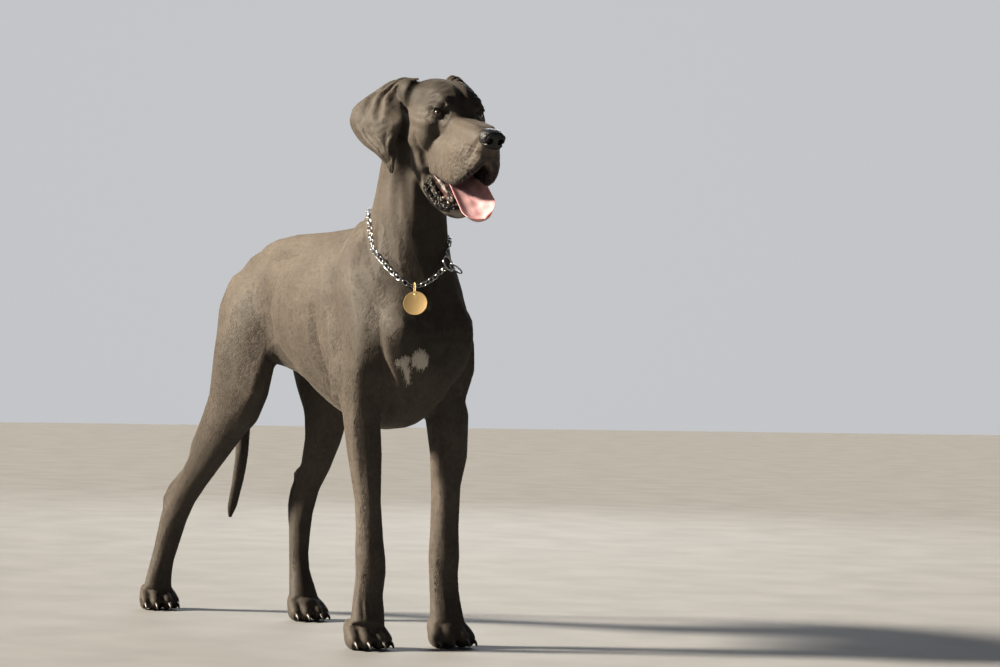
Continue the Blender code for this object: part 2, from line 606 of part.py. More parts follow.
def half(me, point, normal, name):
    """the part of a mesh on the side the normal points to, capped"""
    bm = bmesh.new()
    bm.from_mesh(me)
    geom = bm.verts[:] + bm.edges[:] + bm.faces[:]
    r = bmesh.ops.bisect_plane(bm, geom=geom, plane_co=point, plane_no=normal, clear_inner=True)
    edges = [e for e in r["geom_cut"] if isinstance(e, bmesh.types.BMEdge)]
    bmesh.ops.contextual_create(bm, geom=edges)
    bmesh.ops.triangulate(bm, faces=bm.faces)
    bmesh.ops.recalc_face_normals(bm, faces=bm.faces)
    return mesh_object(name, bm)


def thin(ob, target):
    d = ob.modifiers.new("thin", "DECIMATE")
    d.ratio = target / len(ob.data.polygons)
    bake(ob)


def slab(name, mid, along, length, breadth, x=0.0, thick=GAP * 1.3):
    """a thin cutter: mid and along are (ahead, up); breadth is across the dog"""
    a = Vector((0, -along[0], along[1])).normalized()
    xx = Vector((1, 0, 0))
    n = xx.cross(a).normalized()
    m = Matrix((xx, a, n)).transposed().to_4x4()
    bm = bmesh.new()
    bmesh.ops.create_cube(bm, size=1.0, matrix=Matrix.Translation(at(x, *mid)) @ m
                          @ Matrix.Diagonal((breadth, length, thick, 1)))
    return mesh_object(name, bm, cutters)


def plate(name, outline, thick=GAP * 1.3):
    """a thin upright cutter on the middle line, its outline in (ahead, up)"""
    bm = bmesh.new()
    sides = [[bm.verts.new(at(x, *p)) for p in outline] for x in (-thick / 2, thick / 2)]
    n = len(outline)
    bm.faces.new(sides[0])
    bm.faces.new(sides[1])
    for i in range(n):
        j = (i + 1) % n
        bm.faces.new((sides[0][i], sides[0][j], sides[1][j], sides[1][i]))
    bmesh.ops.recalc_face_normals(bm, faces=bm.faces)
    return mesh_object(name, bm, cutters)


def cut(ob, tools):
    for t in tools:
        b = ob.modifiers.new(t.name, "BOOLEAN")
        b.operation = "DIFFERENCE"
        b.solver = "EXACT"
        b.object = t
    return bake(ob)


def islands(me):
    bm = bmesh.new()
    bm.from_mesh(me)
    bm.verts.ensure_lookup_table()
    seen, out = set(), []
    for v in bm.verts:
        if v.index in seen:
            continue
        stack, group = [v], []
        seen.add(v.index)
        while stack:
            w = stack.pop()
            group.append(w.index)
            for e in w.link_edges:
                o = e.other_vert(w)
                if o.index not in seen:
                    seen.add(o.index)
                    stack.append(o)
        out.append(group)
    bm.free()
    return out


def separate(ob, names, smallest=2e-6):
    """one node for each island; names maps a node to a point near its middle"""
    made = {}
    for group in islands(ob.data):
        keep = set(group)
        bm = bmesh.new()
        bm.from_mesh(ob.data)
        bm.verts.ensure_lookup_table()
        bmesh.ops.delete(bm, geom=[v for v in bm.verts if v.index not in keep], context="VERTS")
        if abs(bm.calc_volume()) < smallest:
            bm.free()
            continue
        c = sum((v.co for v in bm.verts), Vector()) / len(bm.verts)
        name = min(names, key=lambda n: (at(*names[n]) - c).length)
        if name in made:
            name += "_more"
        made[name] = mesh_object(name, bm)
    bpy.data.objects.remove(ob, do_unlink=True)
    return made


whole = whole_body()
me = evaluated(whole)
bpy.data.objects.remove(whole, do_unlink=True)
soften(me, 24)
push(me, ORBITS)

# head from body: nape to throat
NAPE, THROAT = (-0.045, 1.050), (0.088, 0.884)
mid = at(0, (NAPE[0] + THROAT[0]) / 2, (NAPE[1] + THROAT[1]) / 2)
slope = Vector((0, -(THROAT[0] - NAPE[0]), THROAT[1] - NAPE[1])).normalized()
across = Vector((1, 0, 0)).cross(slope).normalized()
if across.y > 0:
    across = -across                       # towards the face
head = half(me, mid + across * GAP * 0.9, across, "head_whole")
body = half(me, mid - across * GAP * 0.9, -across, "body_whole")
thin(head, HEAD_TRIS)
thin(body, BODY_TRIS)
flat = half(body.data, Vector((0, 0, 0)), Vector((0, 0, 1)), "body_flat")
bpy.data.objects.remove(body, do_unlink=True)

tree = BVHTree.FromPolygons([v.co.copy() for v in flat.data.vertices],
                            [tuple(p.vertices) for p in flat.data.polygons])   # the skin, for the collar

body_nodes = separate(cut(flat, [
    slab("cut_neck", (0.000, 0.8175), (0.20, -0.115), 0.40, 0.40),
    slab("cut_tail", (-0.7545, 0.655), (0.090, -0.040), 0.074, 0.10),
    slab("cut_haunch", (-0.5535, 0.560), (-0.335, 0.110), 0.352, 0.40),
    plate("cut_groin", [(-0.380, 0.5033), (-0.727, 0.6170), (-0.790, 0.420), (-0.340, 0.420)]),
    slab("cut_fore_right", (-0.020, 0.412), (1, 0), 0.20, 0.11, -FORE_X),
    slab("cut_fore_left", (-0.020, 0.412), (1, 0), 0.20, 0.11, FORE_X),
    slab("cut_wrist_right", (0.010, 0.152), (1, 0), 0.12, 0.11, -FORE_X),
    slab("cut_wrist_left", (0.010, 0.152), (1, 0), 0.12, 0.11, FORE_X),
    slab("cut_knee_right", (-0.585, 0.446), (0.82, -0.45), 0.26, 0.16, -0.100),
    slab("cut_knee_left", (-0.505, 0.430), (0.90, 0.05), 0.26, 0.14, 0.075),
    slab("cut_hock_right", (-0.820, 0.212), (0.88, -0.40), 0.14, 0.11, -0.122),
    slab("cut_hock_left", (-0.580, 0.212), (1, 0), 0.14, 0.11, 0.062),
    slab("cut_paw_right", (-0.850, 0.090), (1, 0), 0.12, 0.11, -0.138),
    slab("cut_paw_left", (-0.560, 0.090), (1, 0), 0.12, 0.11, 0.060),
]), {
    "trunk": (0, -0.30, 0.66), "neck": (0, 0.0, 0.92), "tail": (0, -0.77, 0.45),
    "foreleg_right": (-0.09, 0, 0.28), "foreleg_left": (0.09, 0, 0.28),
    "forepaw_right": (-0.088, 0.03, 0.06), "forepaw_left": (0.088, 0.03, 0.06),
    "thigh_right": (-0.09, -0.55, 0.52), "thigh_left": (0.08, -0.52, 0.52),
    "shank_right": (-0.11, -0.70, 0.33), "shank_left": (0.07, -0.54, 0.32),
    "hock_right": (-0.13, -0.84, 0.15), "hock_left": (0.06, -0.58, 0.15),
    "hindpaw_right": (-0.14, -0.85, 0.04), "hindpaw_left": (0.06, -0.54, 0.04),
})

def inflated(ob, d, name):
    """a cutter a little bigger than a piece, to leave a gap round it"""
    bm = bmesh.new()
    bm.from_mesh(ob.data)
    bm.normal_update()
    moves = [v.normal * d for v in bm.verts]
    for v, m in zip(bm.verts, moves):
        v.co += m
    return mesh_object(name, bm, cutters)


def largest(ob):
    """keep the biggest body that a cut leaves"""
    groups = islands(ob.data)
    if len(groups) < 2:
        return ob
    best, name = None, ob.name
    for group in groups:
        keep = set(group)
        bm = bmesh.new()
        bm.from_mesh(ob.data)
        bm.verts.ensure_lookup_table()
        bmesh.ops.delete(bm, geom=[v for v in bm.verts if v.index not in keep], context="VERTS")
        vol = abs(bm.calc_volume())
        if best is None or vol > best[0]:
            if best:
                best[1].free()
            best = (vol, bm)
        else:
            bm.free()
    best[1].to_mesh(ob.data)
    best[1].free()
    return ob


# ------------------------------------------------------------ head pieces
def in_head(l, f, h):
    return HEAD @ Vector((l, -f, h))


for side, word in ((-1, "right"), (1, "left")):
    bm = bmesh.new()
    m = Matrix.Translation(in_head(side * EYE_AT[0], EYE_AT[1], EYE_AT[2]))
    bmesh.ops.create_uvsphere(bm, u_segments=12, v_segments=8, radius=EYE_R, matrix=m)
    mesh_object("eye_" + word, bm)
bm = bmesh.new()
tongue_loft(bm)
tongue = mesh_object("tongue", bm)

bm = bmesh.new()
nose_pad(bm)
nose = mesh_object("nose", bm)
pits = []
for side in (-1, 1):
    bm = bmesh.new()
    blob(bm, (side * 0.0112, 0.1705, -0.0255), (0.0050, 0.0085, 0.0042), matrix=HEAD, turn=(0, side * 0.5, 0), grain=10)
    pits.append(mesh_object("cut_nostril_%d" % side, bm, cutters))
cut(nose, pits)

cut(head, [inflated(tongue, GAP * 1.4, "cut_tongue"), inflated(nose, GAP * 1.4, "cut_nose"),
           inflated(bpy.data.objects["eye_right"], GAP * 1.4, "cut_eye_right"),
           inflated(bpy.data.objects["eye_left"], GAP * 1.4, "cut_eye_left")])


def head_slab(name, a, b, breadth=0.16, thick=GAP * 1.3):
    """thin cutter through the head from a to b, each (ahead, up) of the eyes"""
    d = Vector((0, -(b[0] - a[0]), b[1] - a[1]))
    xx = Vector((1, 0, 0))
    n = xx.cross(d.normalized())
    m = Matrix((xx, d.normalized(), n)).transposed().to_4x4()
    bm = bmesh.new()
    bmesh.ops.create_cube(bm, size=1.0, matrix=HEAD @ Matrix.Translation(
        Vector((0, -(a[0] + b[0]) / 2, (a[1] + b[1]) / 2))) @ m @ Matrix.Diagonal((breadth, d.length, thick, 1)))
    return mesh_object(name, bm, cutters)


head_nodes = separate(cut(head, [head_slab("cut_jaw", (0.012, -0.094), (-0.085, -0.190))]),
                      {"head": (0.0, 0.12, 1.00), "lower_jaw": (0.0, 0.20, 0.87)})
head = head_nodes["head"]

for side, word in ((-1, "right"), (1, "left")):
    ear = mesh_object("ear_" + word, ear_sheet(side))
    largest(cut(ear, [inflated(head, GAP * 1.6, "cut_ear_" + word)]))

# ------------------------------------------------------------ chain collar
RING_AT, RING_OUT = (0.0333, 0.0973, 0.7425), (0.440, 0.780, 0.400)   # end ring, and the way it faces
COLLAR = [(0.0493, 0.0698, 0.7820), (0.061, 0.032, 0.791), (0.066, -0.014, 0.803), (0.062, -0.060, 0.818),
          (0.044, -0.103, 0.832), (0.000, -0.138, 0.840), (-0.038, -0.105, 0.841), (-0.0570, -0.0618, 0.8350),
          (-0.0680, -0.0420, 0.8120), (-0.0763, -0.0189, 0.7842), (-0.0761, 0.0185, 0.7530),
          (-0.0697, 0.0574, 0.7245), (-0.0554, 0.0884, 0.7045), (-0.0379, 0.0993, 0.6985),
          (-0.0200, 0.1020, 0.7025), (0.000, 0.1016, 0.7140)]
TAG_AT = 13              # the tag hangs from this point of the collar


def on_neck(p, lift):
    near, nn, _, _ = tree.find_nearest(p)
    if (p - near).dot(nn) < 0 or (p - near).length < 1e-5:
        return near + nn * lift
    return near + (p - near).normalized() * lift


ring_mid = at(*RING_AT)
ring_out = at(*RING_OUT).normalized()
first, last = at(*COLLAR[0]), at(*COLLAR[-1])
REACH = RING_R + RING_WIRE + CHAIN_R * 0.15 + 0.0024


def ring_edge(towards):
    d = towards - ring_mid
    d = (d - ring_out * d.dot(ring_out)).normalized()
    return ring_mid + d * REACH


STEPS = 3
path = [Vector(r) for r in smooth_rows([tuple(ring_edge(first))] + [tuple(at(*p)) for p in COLLAR]
                                       + [tuple(ring_edge(last))], STEPS)]
TAG_STEP = (TAG_AT + 1) * STEPS
for turn in range(3):                        # lay it on the neck; it bridges small hollows
    for i in range(1, len(path) - 1):
        path[i] = (path[i - 1] + path[i] * 2 + path[i + 1]) / 4
    for i in range(1, len(path) - 1):
        ramp = max(0.0, 1 - min(i, len(path) - 1 - i) / 3.0) * 0.0035
        lift = CHAIN_R + 0.0010 + ramp
        near, nn, _, dist = tree.find_nearest(path[i])
        if turn < 2 or dist < lift or (path[i] - near).dot(nn) < 0:
            path[i] = on_neck(path[i], lift)


for turn in range(8):                        # and no straight piece of it cuts a bulge
    for i in range(len(path) - 1):
        for t in (0.0, 0.25, 0.5, 0.75, 1.0):
            p = path[i].lerp(path[i + 1], t)
            near, nn, _, dist = tree.find_nearest(p)
            short = CHAIN_R + 0.0007 - (dist if (p - near).dot(nn) > 0 else -dist)
            if short > 0:
                for j in (i, i + 1):
                    if 0 < j < len(path) - 1:
                        path[j] = path[j] + nn * short * 0.6


def wire(name, pts, radius, closed=False):
    """round wire along the points: a bevelled curve, made a mesh"""
    cu = bpy.data.curves.new(name, "CURVE")
    cu.dimensions = "3D"
    cu.bevel_depth = radius
    cu.bevel_resolution = 1
    cu.use_fill_caps = not closed
    sp = cu.splines.new("POLY")
    sp.points.add(len(pts) - 1)
    for q, p in zip(sp.points, pts):
        q.co = (*p, 1)
    sp.use_cyclic_u = closed
    guide = bpy.data.objects.new("guide_" + name, cu)
    cutters.objects.link(guide)
    me = evaluated(guide)
    bpy.data.objects.remove(guide, do_unlink=True)
    bm = bmesh.new()
    bm.from_mesh(me)
    bmesh.ops.remove_doubles(bm, verts=bm.verts, dist=1e-6)
    bmesh.ops.recalc_face_normals(bm, faces=bm.faces)
    return mesh_object(name, bm)


def ring(name, centre, normal, wide, tall, up, thick, around=16):
    """a closed wire ring; wide and tall are to the middle of the wire"""
    n = normal.normalized()
    v = (up - n * up.dot(n)).normalized()
    u = v.cross(n)
    turn = [2 * math.pi * i / around for i in range(around)]
    return wire(name, [centre + u * wide * math.cos(a) + v * tall * math.sin(a) for a in turn], thick, closed=True)


# the end ring lies in the line of the chain
ring_1 = ring("collar_ring_end", ring_mid, ring_out, RING_R, RING_R, Vector((0, 0, 1)), RING_WIRE)
# the slide ring is linked to it and droops outwards, where a lead would pull
droop = at(0.734, 0.424, -0.530).normalized()
level = at(0.500, -0.866, 0.0)
level = (level - droop * level.dot(droop)).normalized()
roll = math.radians(15)
face = droop.cross(level).normalized() * math.cos(roll) + level * math.sin(roll)
ring_2 = ring("collar_ring_slide", ring_mid + droop * 0.0160, face, RING_R, RING_R, droop, RING_WIRE)
chain = wire("collar_chain", path, CHAIN_R)

# tag on its link, at the lowest place of the chain
link_top = path[TAG_STEP]
near, out, _, _ = tree.find_nearest(link_top)
below = link_top + Vector((0, 0, -0.044))
near, nn, _, _ = tree.find_nearest(below)
tag_spot = near + nn * 0.0105
hang = (tag_spot - link_top).normalized()
out = at(-0.36, 0.90, 0.15).normalized()
out = (out - hang * out.dot(hang)).normalized()
side_v = hang.cross(out).normalized()
link_n = (side_v + out * 0.55).normalized()
LINK_H, LINK_W, LINK_WIRE = 0.0118, 0.0040, 0.0012
link_mid = link_top + out * 0.0008 + hang * (LINK_H - 0.0010)
link = ring("tag_link", link_mid, link_n, LINK_W, LINK_H, hang, LINK_WIRE, around=12)
cut(chain, [inflated(link, GAP * 1.4, "cut_link")])
largest(chain)

hole = link_mid + hang * LINK_H
tag_mid = hole + hang * (TAG_R - 0.0046)
basis = Matrix((side_v, hang, side_v.cross(hang))).transposed().to_4x4()
bm = bmesh.new()
bmesh.ops.create_cone(bm, cap_ends=True, segments=30, radius1=TAG_R, radius2=TAG_R, depth=0.0018,
                      matrix=Matrix.Translation(tag_mid) @ basis)
tag = mesh_object("tag", bm)
bm = bmesh.new()
bmesh.ops.create_cone(bm, cap_ends=True, segments=12, radius1=0.0030, radius2=0.0030, depth=0.01,
                      matrix=Matrix.Translation(hole) @ basis)
cut(tag, [mesh_object("cut_hole", bm, cutters)])

# ------------------------------------------------------------ materials on the nodes
LOOKS = {
    "coat": (COAT, 0.62, 0.0), "nose": ((0.018, 0.017, 0.018), 0.35, 0.0),
    "eye": ((0.060, 0.028, 0.012), 0.08, 0.0), "tongue": ((0.52, 0.20, 0.20), 0.35, 0.0),
    "chain": ((0.62, 0.62, 0.62), 0.25, 1.0), "tag": ((0.70, 0.50, 0.24), 0.32, 1.0),
}
LOOK_OF = {"nose": "nose", "eye_left": "eye", "eye_right": "eye", "tongue": "tongue", "tag": "tag",
           "collar_chain": "chain", "collar_ring_end": "chain", "collar_ring_slide": "chain", "tag_link": "chain"}
total = 0
for ob in sorted(parts.objects, key=lambda o: o.name):
    colour, rough, metal = LOOKS[LOOK_OF.get(ob.name, "coat")]
    ob.data.materials.clear()
    ob.data.materials.append(material(ob.name, colour, rough, metal))
    ob.data.shade_smooth()
    total += sum(len(p.vertices) - 2 for p in ob.data.polygons)
print("nodes", len(parts.objects), "triangles", total)

# ------------------------------------------------------------ origin
# bottom centre of the whole; the feet already stand at z = 0
corners = [v.co for ob in parts.objects for v in ob.data.vertices]
mid_x = (min(c.x for c in corners) + max(c.x for c in corners)) / 2
mid_y = (min(c.y for c in corners) + max(c.y for c in corners)) / 2
low_z = min(c.z for c in corners)
for ob in parts.objects:
    ob.data.transform(Matrix.Translation((-mid_x, -mid_y, -low_z)))
    ob.data.update()
print("origin taken off", round(mid_x, 6), round(mid_y, 6), round(low_z, 6))
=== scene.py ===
# A great dane standing, life size, as a still museum model: the looks.
#
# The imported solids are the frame. One skin, shaped with the same sizes as the
# solids and then worked finer, stands for the nodes of flesh; the short coat
# lies over it as thin tufts. Eyes, nose, tongue, teeth, claws and what the dog
# wears are pieces of their own. The dog faces -Y, its left is +X, metres.

import bpy
import bmesh
import json
import math
import numpy as np
from mathutils import Vector, Matrix, noise
from mathutils.bvhtree import BVHTree
from mathutils.kdtree import KDTree

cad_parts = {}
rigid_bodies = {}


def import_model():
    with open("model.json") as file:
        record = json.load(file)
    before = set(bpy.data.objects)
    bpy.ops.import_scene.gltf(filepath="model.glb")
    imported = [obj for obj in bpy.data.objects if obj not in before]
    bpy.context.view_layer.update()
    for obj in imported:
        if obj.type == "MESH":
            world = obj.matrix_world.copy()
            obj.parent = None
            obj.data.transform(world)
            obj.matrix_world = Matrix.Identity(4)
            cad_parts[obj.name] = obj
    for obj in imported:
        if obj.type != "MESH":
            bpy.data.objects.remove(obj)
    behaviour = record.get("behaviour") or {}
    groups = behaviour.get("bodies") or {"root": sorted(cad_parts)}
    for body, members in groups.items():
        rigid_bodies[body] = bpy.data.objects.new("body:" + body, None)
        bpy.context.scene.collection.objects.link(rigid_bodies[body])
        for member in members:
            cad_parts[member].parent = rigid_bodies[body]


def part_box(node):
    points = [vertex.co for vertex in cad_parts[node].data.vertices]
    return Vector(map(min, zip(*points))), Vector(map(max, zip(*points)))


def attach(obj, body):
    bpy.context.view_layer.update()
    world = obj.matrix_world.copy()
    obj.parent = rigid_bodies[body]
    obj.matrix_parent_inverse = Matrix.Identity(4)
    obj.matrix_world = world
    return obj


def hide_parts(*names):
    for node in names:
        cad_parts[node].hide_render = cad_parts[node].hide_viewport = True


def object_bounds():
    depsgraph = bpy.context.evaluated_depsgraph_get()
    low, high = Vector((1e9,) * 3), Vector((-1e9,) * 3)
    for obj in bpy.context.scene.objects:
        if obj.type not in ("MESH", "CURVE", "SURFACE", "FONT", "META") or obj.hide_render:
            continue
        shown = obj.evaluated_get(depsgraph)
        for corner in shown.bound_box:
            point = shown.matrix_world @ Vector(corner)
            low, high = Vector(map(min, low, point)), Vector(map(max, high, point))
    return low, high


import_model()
CAD_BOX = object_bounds()
RNG = np.random.default_rng(7)

VOXEL = 0.0031           # grain of the fused body
COAT = 0.0014            # depth of the coat
SKIN_TRIS = 400000       # triangles of the skin

EYE_MID = (0.005, 0.175, 1.0215)   # x, ahead, up: midway between the eyes
HEAD_YAW = math.radians(-4.0)
HEAD_PITCH = math.radians(12.0)
EYE_R = 0.0128
SKULL = 0.165
FORE_X = 0.090
TAG_R = 0.0232
CHAIN_R = 0.0038
RING_R = 0.0150
RING_WIRE = 0.0018

work = bpy.data.collections.new("work")
bpy.context.scene.collection.children.link(work)


# ------------------------------------------------------------ loft tools
def at(x, u, z):
    """x to the dog's left, u ahead, z up -> scene point"""
    return Vector((x, -u, z))


def head_matrix():
    return (Matrix.Translation(at(*EYE_MID)) @ Matrix.Rotation(HEAD_YAW, 4, "Z")
            @ Matrix.Rotation(HEAD_PITCH, 4, "X"))


HEAD = head_matrix()


def smooth_rows(rows, steps):
    """cubic through the rows, spaced by the length of their path"""
    r = np.array(rows, float)
    if steps <= 1 or len(r) < 3:
        return r
    t = np.concatenate([[0], np.cumsum(np.linalg.norm(np.diff(r[:, :3], axis=0), axis=1) + 1e-6)])
    m = np.gradient(r, t, axis=0)
    out = []
    for i in range(len(r) - 1):
        h = t[i + 1] - t[i]
        for k in range(steps):
            s = k / steps
            out.append((2 * s**3 - 3 * s**2 + 1) * r[i] + (s**3 - 2 * s**2 + s) * h * m[i]
                       + (-2 * s**3 + 3 * s**2) * r[i + 1] + (s**3 - s**2) * h * m[i + 1])
    out.append(r[-1])
    return np.array(out)


def loft(bm, rows, sides=28, steps=4, power=2.0, matrix=None, tilt=0.0):
    """closed tube: each row is x, ahead, up, half width, half depth to the
    front (or top), half depth to the back (or underside)"""
    rows = smooth_rows(rows, steps)
    path = [Vector((p[0], -p[1], p[2])) for p in rows]
    rings = []
    for i, p in enumerate(path):
        t = (path[min(i + 1, len(path) - 1)] - path[max(i - 1, 0)]).normalized()
        s = Vector((math.cos(tilt), math.sin(tilt), 0))
        s = (s - t * s.dot(t)).normalized()
        n = t.cross(s).normalized()
        a, bf, bb = (max(v, 0.0005) for v in rows[i][3:6])
        ring = []
        for k in range(sides):
            ang = 2 * math.pi * k / sides
            c, d = math.cos(ang), math.sin(ang)
            c = math.copysign(abs(c) ** (2 / power), c)
            d = math.copysign(abs(d) ** (2 / power), d)
            q = p + s * a * c + n * (bf if d > 0 else bb) * d
            ring.append(q)
        rings.append(ring)
    vs = [[bm.verts.new(matrix @ q if matrix else q) for q in ring] for ring in rings]
    new = []
    for i in range(len(vs) - 1):
        for k in range(sides):
            j = (k + 1) % sides
            new.append(bm.faces.new((vs[i][k], vs[i][j], vs[i + 1][j], vs[i + 1][k])))
    new.append(bm.faces.new(list(reversed(vs[0]))))
    new.append(bm.faces.new(vs[-1]))
    bmesh.ops.recalc_face_normals(bm, faces=new)
    return vs


def blob(bm, centre, radii, matrix=None, turn=(0, 0, 0), grain=20):
    """ellipsoid; centre and radii are x, ahead, up"""
    c = Vector((centre[0], -centre[1], centre[2]))
    if matrix is None:
        matrix = Matrix.Identity(4)
    rot = (Matrix.Rotation(turn[2], 4, "Z") @ Matrix.Rotation(turn[1], 4, "Y")
           @ Matrix.Rotation(turn[0], 4, "X"))
    m = matrix @ Matrix.Translation(c) @ rot @ Matrix.Diagonal((radii[0], radii[1], radii[2], 1))
    bmesh.ops.create_uvsphere(bm, u_segments=grain, v_segments=grain * 3 // 5, radius=1.0, matrix=m)


def mirror_rows(rows, side):
    return [(r[0] * side, *r[1:]) for r in rows]


# ------------------------------------------------------------ the body
def trunk(bm):
    # ahead, top, underside, half width
    line = [(-0.712, 0.705, 0.620, 0.030),
            (-0.690, 0.734, 0.585, 0.060),
            (-0.645, 0.764, 0.556, 0.088),
            (-0.570, 0.790, 0.540, 0.102),
            (-0.490, 0.806, 0.530, 0.106),
            (-0.410, 0.811, 0.517, 0.109),
            (-0.330, 0.813, 0.498, 0.124),
            (-0.250, 0.817, 0.470, 0.136),
            (-0.170, 0.827, 0.438, 0.138),
            (-0.100, 0.834, 0.417, 0.133),
            (-0.030, 0.812, 0.413, 0.122),
            (0.040, 0.770, 0.428, 0.100),
            (0.090, 0.715, 0.470, 0.074),
            (0.128, 0.650, 0.535, 0.040)]
    loft(bm, [(0, u, (t + b) / 2, a, (t - b) / 2, (t - b) / 2) for u, t, b, a in line], sides=36)
    # long muscles of the back, either side of the spine
    for s in (-1, 1):
        loft(bm, [(s * 0.030, -0.62, 0.745, 0.030, 0.030, 0.03), (s * 0.042, -0.45, 0.770, 0.042, 0.036, 0.04),
                  (s * 0.045, -0.25, 0.775, 0.040, 0.036, 0.04), (s * 0.030, -0.12, 0.780, 0.030, 0.040, 0.04)])
    # breast bone and the muscles either side of it
    blob(bm, (0, 0.104, 0.60), (0.040, 0.034, 0.055))
    for s in (-1, 1):
        blob(bm, (s * 0.047, 0.078, 0.585), (0.048, 0.050, 0.085), turn=(0, s * 0.25, 0))


def neck(bm):
    # top to bottom: x, ahead, up, half width, half depth front, half depth back
    loft(bm, [(0.004, 0.040, 1.035, 0.046, 0.050, 0.046),
              (0.003, 0.014, 0.992, 0.054, 0.068, 0.060),
              (0.002, -0.006, 0.940, 0.057, 0.077, 0.072),
              (0.001, -0.010, 0.885, 0.060, 0.084, 0.082),
              (0.000, -0.014, 0.832, 0.066, 0.094, 0.094),
              (0.000, -0.022, 0.780, 0.077, 0.108, 0.112),
              (0.000, -0.032, 0.725, 0.090, 0.120, 0.130),
              (0.000, -0.040, 0.660, 0.098, 0.128, 0.130)], sides=32)
    # crest running down into the withers
    loft(bm, [(0.002, -0.030, 0.99, 0.020, 0.03, 0.026), (0.002, -0.058, 0.92, 0.022, 0.03, 0.028),
              (0.001, -0.085, 0.860, 0.028, 0.04, 0.033), (0.0, -0.140, 0.805, 0.036, 0.05, 0.036)])
    # band of muscle down each side, from behind the ear to the breast bone
    for s in (-1, 1):
        loft(bm, [(s * 0.044, 0.018, 0.985, 0.016, 0.026, 0.026), (s * 0.046, 0.024, 0.900, 0.018, 0.028, 0.028),
                  (s * 0.045, 0.038, 0.810, 0.021, 0.030, 0.030), (s * 0.037, 0.058, 0.720, 0.024, 0.030, 0.030),
                  (s * 0.022, 0.076, 0.650, 0.020, 0.026, 0.026)])


def shoulder(bm, s):
    # blade, down to the point of the shoulder, and back to the elbow
    loft(bm, mirror_rows([(0.036, -0.120, 0.815, 0.018, 0.040, 0.040),
                          (0.062, -0.095, 0.765, 0.030, 0.060, 0.060),
                          (0.082, -0.050, 0.705, 0.041, 0.068, 0.064),
                          (0.088, -0.012, 0.640, 0.044, 0.064, 0.064),
                          (0.090, 0.018, 0.590, 0.045, 0.052, 0.052)], s))
    blob(bm, (s * 0.088, 0.006, 0.595), (0.045, 0.058, 0.060))
    loft(bm, mirror_rows([(0.088, 0.026, 0.600, 0.044, 0.044, 0.060),
                          (0.090, 0.008, 0.545, 0.044, 0.050, 0.070),
                          (0.091, -0.010, 0.495, 0.040, 0.046, 0.066),
                          (0.090, -0.014, 0.445, 0.034, 0.040, 0.050)], s))
    blob(bm, (s * 0.092, -0.052, 0.53), (0.036, 0.052, 0.075), turn=(0.5, 0, 0))


# how each fore leg stands off the plumb line: up, x, ahead, added radius
LEAN = {-1: [(0.470, 0.000, 0.000, 0.0010), (0.380, 0.0045, 0.0025, 0.0010), (0.260, 0.0072, 0.0042, 0.0),
             (0.135, 0.0090, 0.0052, 0.0005), (0.070, 0.0040, 0.0020, 0.0), (0.045, 0.0, 0.0, 0.0)],
        1: [(0.470, 0.0050, 0.003, 0.0030), (0.380, 0.0055, 0.003, 0.0030), (0.260, 0.0025, 0.0015, 0.0025),
            (0.135, 0.0, 0.0, 0.0005), (0.070, 0.0, 0.0, 0.0), (0.045, 0.0, 0.0, 0.0)]}


def lean(s, z):
    rows = LEAN[s]
    for a, b in zip(rows[:-1], rows[1:]):
        if z >= b[0]:
            t = min(1.0, max(0.0, (a[0] - z) / (a[0] - b[0])))
            return [p + (q - p) * t for p, q in zip(a[1:], b[1:])]
    return rows[-1][1:]


def fore_leg(bm, s, foot):
    """upper arm end, forearm, wrist and pastern; foot is (x, ahead)"""
    x0, fx, fu = s * FORE_X, foot[0], foot[1]
    rows = [(x0, -0.010, 0.470, 0.034, 0.042, 0.056),
            (x0, -0.008, 0.430, 0.034, 0.040, 0.050),
            (x0, -0.002, 0.380, 0.031, 0.036, 0.040),
            (x0 * 0.98, 0.002, 0.320, 0.0268, 0.031, 0.031),
            (x0 * 0.97, 0.006, 0.260, 0.0262, 0.027, 0.027),
            (x0 * 0.96, 0.010, 0.205, 0.0282, 0.026, 0.026),
            (x0 * 0.95, 0.014, 0.170, 0.0300, 0.028, 0.028),
            ((x0 * .94 + fx) / 2, 0.016, 0.135, 0.0292, 0.024, 0.028),
            (fx, 0.019, 0.100, 0.0300, 0.022, 0.026),
            (fx, 0.026, 0.070, 0.0330, 0.024, 0.028),
            (fx, 0.034, 0.045, 0.0350, 0.026, 0.030)]
    off = [lean(s, r[2]) for r in rows]
    loft(bm, [(r[0] + o[0], r[1] + o[1], r[2], r[3] + o[2], r[4] + o[2], r[5] + o[2]) for r, o in zip(rows, off)],
         sides=24)
    # point of the elbow, and the pad behind the wrist
    loft(bm, [(x0, -0.050, 0.478, 0.012, 0.020, 0.014), (x0, -0.052, 0.452, 0.017, 0.024, 0.018),
              (x0, -0.040, 0.410, 0.017, 0.024, 0.016)], sides=16)
    o = lean(s, 0.145)
    blob(bm, (x0 * 0.96 + o[0], -0.014 + o[1], 0.145), (0.010, 0.010, 0.013))
    paw(bm, fx, fu, 0.0, 0.95)


